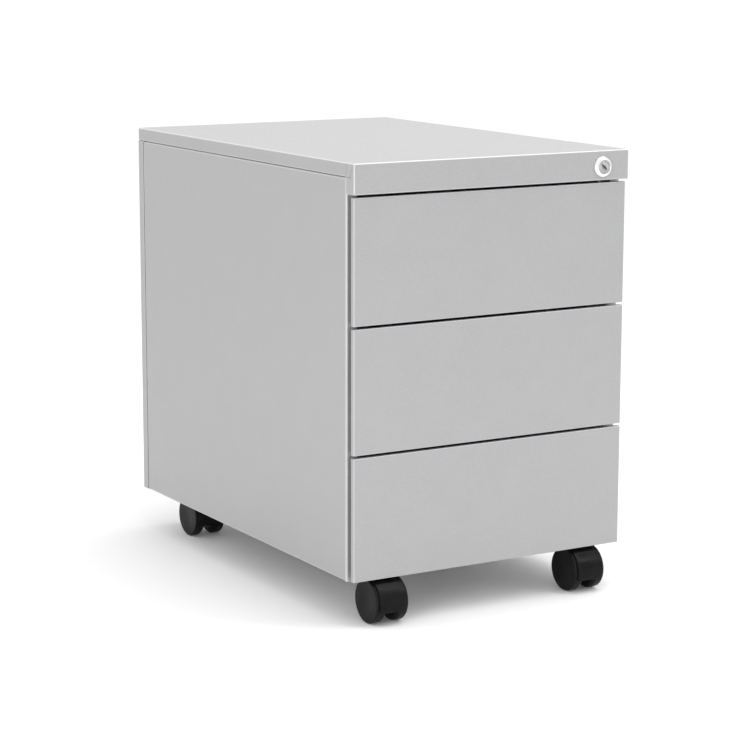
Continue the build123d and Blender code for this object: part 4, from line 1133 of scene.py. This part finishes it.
# %% [markdown]
# ## The lock
#
# The bezel is a bright cone pressed round the lock's housing. The plug's face is satin and has a
# wavy slot for the key. The slot is really cut into the plug, because a dark line painted on the
# face would look flat as soon as the light moves. The fascia gets the round hole that the housing
# stands in, and the right post the three slots that the lock bar's hooks reach through.

# %% Bezel: a polished cone with a small lip
bezel_low, bezel_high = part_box("lock_bezel")
housing_low, housing_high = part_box("lock_housing")
plug_low, plug_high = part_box("lock_plug")
LOCK = Vector(((bezel_low.x + bezel_high.x) / 2, 0, (bezel_low.z + bezel_high.z) / 2))
BEZEL_R = (bezel_high.x - bezel_low.x) / 2
HOUSING_R = (housing_high.x - housing_low.x) / 2
PLUG_R = (plug_high.x - plug_low.x) / 2
LIP = 0.7 * MM
BASE_RIM = 0.8 * MM
BORE_GAP = 0.05 * MM


def bezel_outline():
    """The bezel's section: a flat base, a low rim, a cone that bulges a little, and a lip."""
    bore = HOUSING_R + BORE_GAP
    base, front = bezel_high.y, bezel_low.y
    start, stop = (base - BASE_RIM, BEZEL_R), (front, bore + LIP)
    bulge = (front + 0.6 * MM, BEZEL_R - 1.2 * MM)
    cone = []
    for t in np.linspace(0, 1, 14):
        a, b, c = (1 - t) ** 2, 2 * t * (1 - t), t ** 2
        cone.append(tuple(a * start[i] + b * bulge[i] + c * stop[i] for i in range(2)))
    return [(base, bore), (base, BEZEL_R - 0.1 * MM), (base - 0.1 * MM, BEZEL_R), *cone,
            (front, bore + 0.15 * MM), (front + 0.15 * MM, bore)]


bezel = turned("lock_bezel_ring", bezel_outline(), LOCK, (0, 1, 0), chrome, steps=128)
belongs(bezel, "carcass", "chrome", "lock_bezel")

# %% Housing: the threaded barrel round the plug
PLUG_GAP = 0.1 * MM
FACE_CHAMFER = 0.35 * MM


def barrel_outline():
    """The barrel's section, chamfered in front and threaded behind the fascia."""
    front, rear, bore = housing_low.y, housing_high.y, PLUG_R + PLUG_GAP
    pitch = 1.0 * MM
    thread = []
    for start in np.arange(fascia + 2 * MM, rear - pitch, pitch):
        thread += [(start, HOUSING_R), (start + 0.5 * pitch, HOUSING_R - 0.5 * MM)]
    return [(front, bore + 0.15 * MM), (front, HOUSING_R - FACE_CHAMFER), (front + FACE_CHAMFER, HOUSING_R),
            *thread, (rear - 0.4 * MM, HOUSING_R), (rear, HOUSING_R - 0.4 * MM), (rear, bore),
            (front + 0.15 * MM, bore)]


barrel = turned("lock_barrel", barrel_outline(), LOCK, (0, 1, 0), nickel, steps=96)
belongs(barrel, "carcass", slots["lock_housing"], "lock_housing")

# %% Plug: a turned core with a wavy key slot and a square tail
KEY_TILT = math.radians(37)
KEY_LENGTH, KEY_WIDTH, KEY_WAVE, KEY_DEPTH = 9.0 * MM, 1.6 * MM, 0.55 * MM, 12.0 * MM
TAIL_HALF = 2.5 * MM
TAIL_LONG = 2.5 * MM


def key_slot_outline():
    """The key slot's outline: a strip that bends to one side and back, turned by the key's angle."""
    along = np.linspace(-KEY_LENGTH / 2, KEY_LENGTH / 2, 19)
    middle = KEY_WAVE * np.sin(1.5 * np.pi * along / KEY_LENGTH)
    strip = [(m - KEY_WIDTH / 2, a) for m, a in zip(middle, along)]
    strip += [(m + KEY_WIDTH / 2, a) for m, a in zip(middle[::-1], along[::-1])]
    sine, cosine = math.sin(KEY_TILT), math.cos(KEY_TILT)
    return [
        (LOCK.x + a * sine + m * cosine, LOCK.z - a * cosine + m * sine)
        for m, a in strip
    ]


plug_rear = plug_high.y - TAIL_LONG
core = [
    (plug_low.y, 0), (plug_low.y, PLUG_R - 0.25 * MM), (plug_low.y + 0.25 * MM, PLUG_R),
    (plug_rear, PLUG_R), (plug_rear, 0),
]
plug = turned("lock_plug_core", core, LOCK, (0, 1, 0), nickel, steps=96)
key_slot = prism("key_slot", key_slot_outline(), 1, plug_low.y - MM, plug_low.y + KEY_DEPTH, nickel)
tail = prism(
    "tail",
    [(LOCK.x + i * TAIL_HALF, LOCK.z + j * TAIL_HALF) for i, j in ((-1, -1), (1, -1), (1, 1), (-1, 1))],
    1, plug_rear - MM, plug_high.y, nickel,
)
combine(plug, [tail], "UNION", nickel)
combine(plug, [key_slot], "DIFFERENCE", nickel)
shade(plug, nickel)
belongs(plug, "lock_cylinder", slots["lock_plug"], "lock_plug")

# %% The hole in the fascia and the slots in the right post
HOLE_GAP, HOOK_GAP = 0.1 * MM, 2.5 * MM
SLOT_FROM, SLOT_TO = 103.0 * MM, 127.3 * MM  # above a drawer front's lower edge
bar_low, bar_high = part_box("lock_bar")
post_line = abs(panel_low.x) - post_width
hole_outline = cylinder_outline(fascia - MM, fascia + 3 * MM, HOUSING_R + HOLE_GAP)
hole = turned("hole", hole_outline, LOCK, (0, 1, 0), powder, steps=64)
shade(combine(cover, [hole], "DIFFERENCE", powder), powder)
hook_slots = []
for name in DRAWERS:
    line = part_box(f"{name}_drawer_front")[0].z
    y0, y1 = bar_low.y - HOOK_GAP, bar_high.y + HOOK_GAP
    z0, z1 = line + SLOT_FROM, line + SLOT_TO
    outline = [(y0, z0), (y1, z0), (y1, z1), (y0, z1)]
    hook_slots.append(prism(f"{name}_slot", outline, 0, post_line - 3 * MM, post_line + 3 * MM, powder))
shade(combine(panel_skins["right"], hook_slots, "DIFFERENCE", powder), powder)
print("cut the lock's hole and", len(DRAWERS), "hook slots")

# %% [markdown]
# ## The parts that stay as the CAD made them
#
# Slides, drawer boxes, the lock bar and the small fittings already have their true shape in the
# CAD model. They keep it, and get the finish that their slot in the record names.

# %% Finishes for the CAD nodes that still show
FINISHES = {
    "powder_coat": powder,
    "weight_paint": weight_black,
    "zinc_steel": zinc,
    "bearing_steel": bearing,
    "chrome": chrome,
    "nickel": nickel,
    "guide_plastic": guide_white,
    "black_steel": plate_black,
    "black_plastic": hood_black,
    "wheel_plastic": wheel_black,
}
UPRIGHT_PARTS = ("lock_bar", "rear_uprights")
still_shown = {name: part for name, part in frame["nodes"].items() if not part.hide_render}
for name, part in still_shown.items():
    finish = zinc_upright if name in UPRIGHT_PARTS else FINISHES[slots[name]]
    part.data.materials.clear()
    part.data.materials.append(finish)
print("finished", len(still_shown), "CAD nodes")

# %% [markdown]
# ## Floor, sky and lights
#
# The cabinet stands on a white floor under a white sky, both so bright that they come out pure
# white and only the shadow under the object shows. Four soft lamps add to that: a large one
# overhead, a narrow strip high in front on the right, another strip low on the left, and a fill
# low on the left that reaches under the base. The colours go to the screen without a film curve,
# so a white floor stays white.

# %% Floor and world
WORLD_LEVEL = 1.12
FLOOR_SIZE = 40.0

bpy.context.scene.view_settings.view_transform = "Standard"
bm = bmesh.new()
bmesh.ops.create_grid(bm, x_segments=1, y_segments=1, size=FLOOR_SIZE)
floor_white = finish_of("white_floor", (0.93, 0.93, 0.93), 0.0, 0.9)[0]
floor = mesh_object("floor", bm, floor_white)
world = bpy.data.worlds.new("studio")
world.use_nodes = True
world.node_tree.nodes["Background"].inputs["Color"].default_value = (1, 1, 1, 1)
world.node_tree.nodes["Background"].inputs["Strength"].default_value = WORLD_LEVEL
bpy.context.scene.world = world


# %% Soft lamps
def lamp(name, place, target, size, power):
    """A rectangular area lamp that looks at a target."""
    light = bpy.data.lights.new(name, "AREA")
    light.shape = "RECTANGLE"
    light.size, light.size_y = size
    light.energy = power
    place, target = Vector(place), Vector(target)
    turned_towards = (target - place).to_track_quat("-Z", "Y").to_matrix().to_4x4()
    add_object(name, light).matrix_world = Matrix.Translation(place) @ turned_towards


# name, place, target, width and height in metres, power in watts
LAMPS = (
    ("overhead", (0.5, -0.3, 2.4), (0, 0, 0.3), (2.0, 2.0), 20),
    ("front_strip", (1.3, -1.6, 2.0), (0, -0.25, 0.5), (0.25, 1.6), 9),
    ("left_strip", (-2.2, -1.5, 0.5), (-0.2, -0.25, 0.3), (0.25, 1.4), 5),
    ("low_fill", (-1.8, -1.8, 0.7), (0, 0, 0.05), (1.6, 1.0), 9),
)
for row in LAMPS:
    lamp(*row)
print("lit with a world of", WORLD_LEVEL)
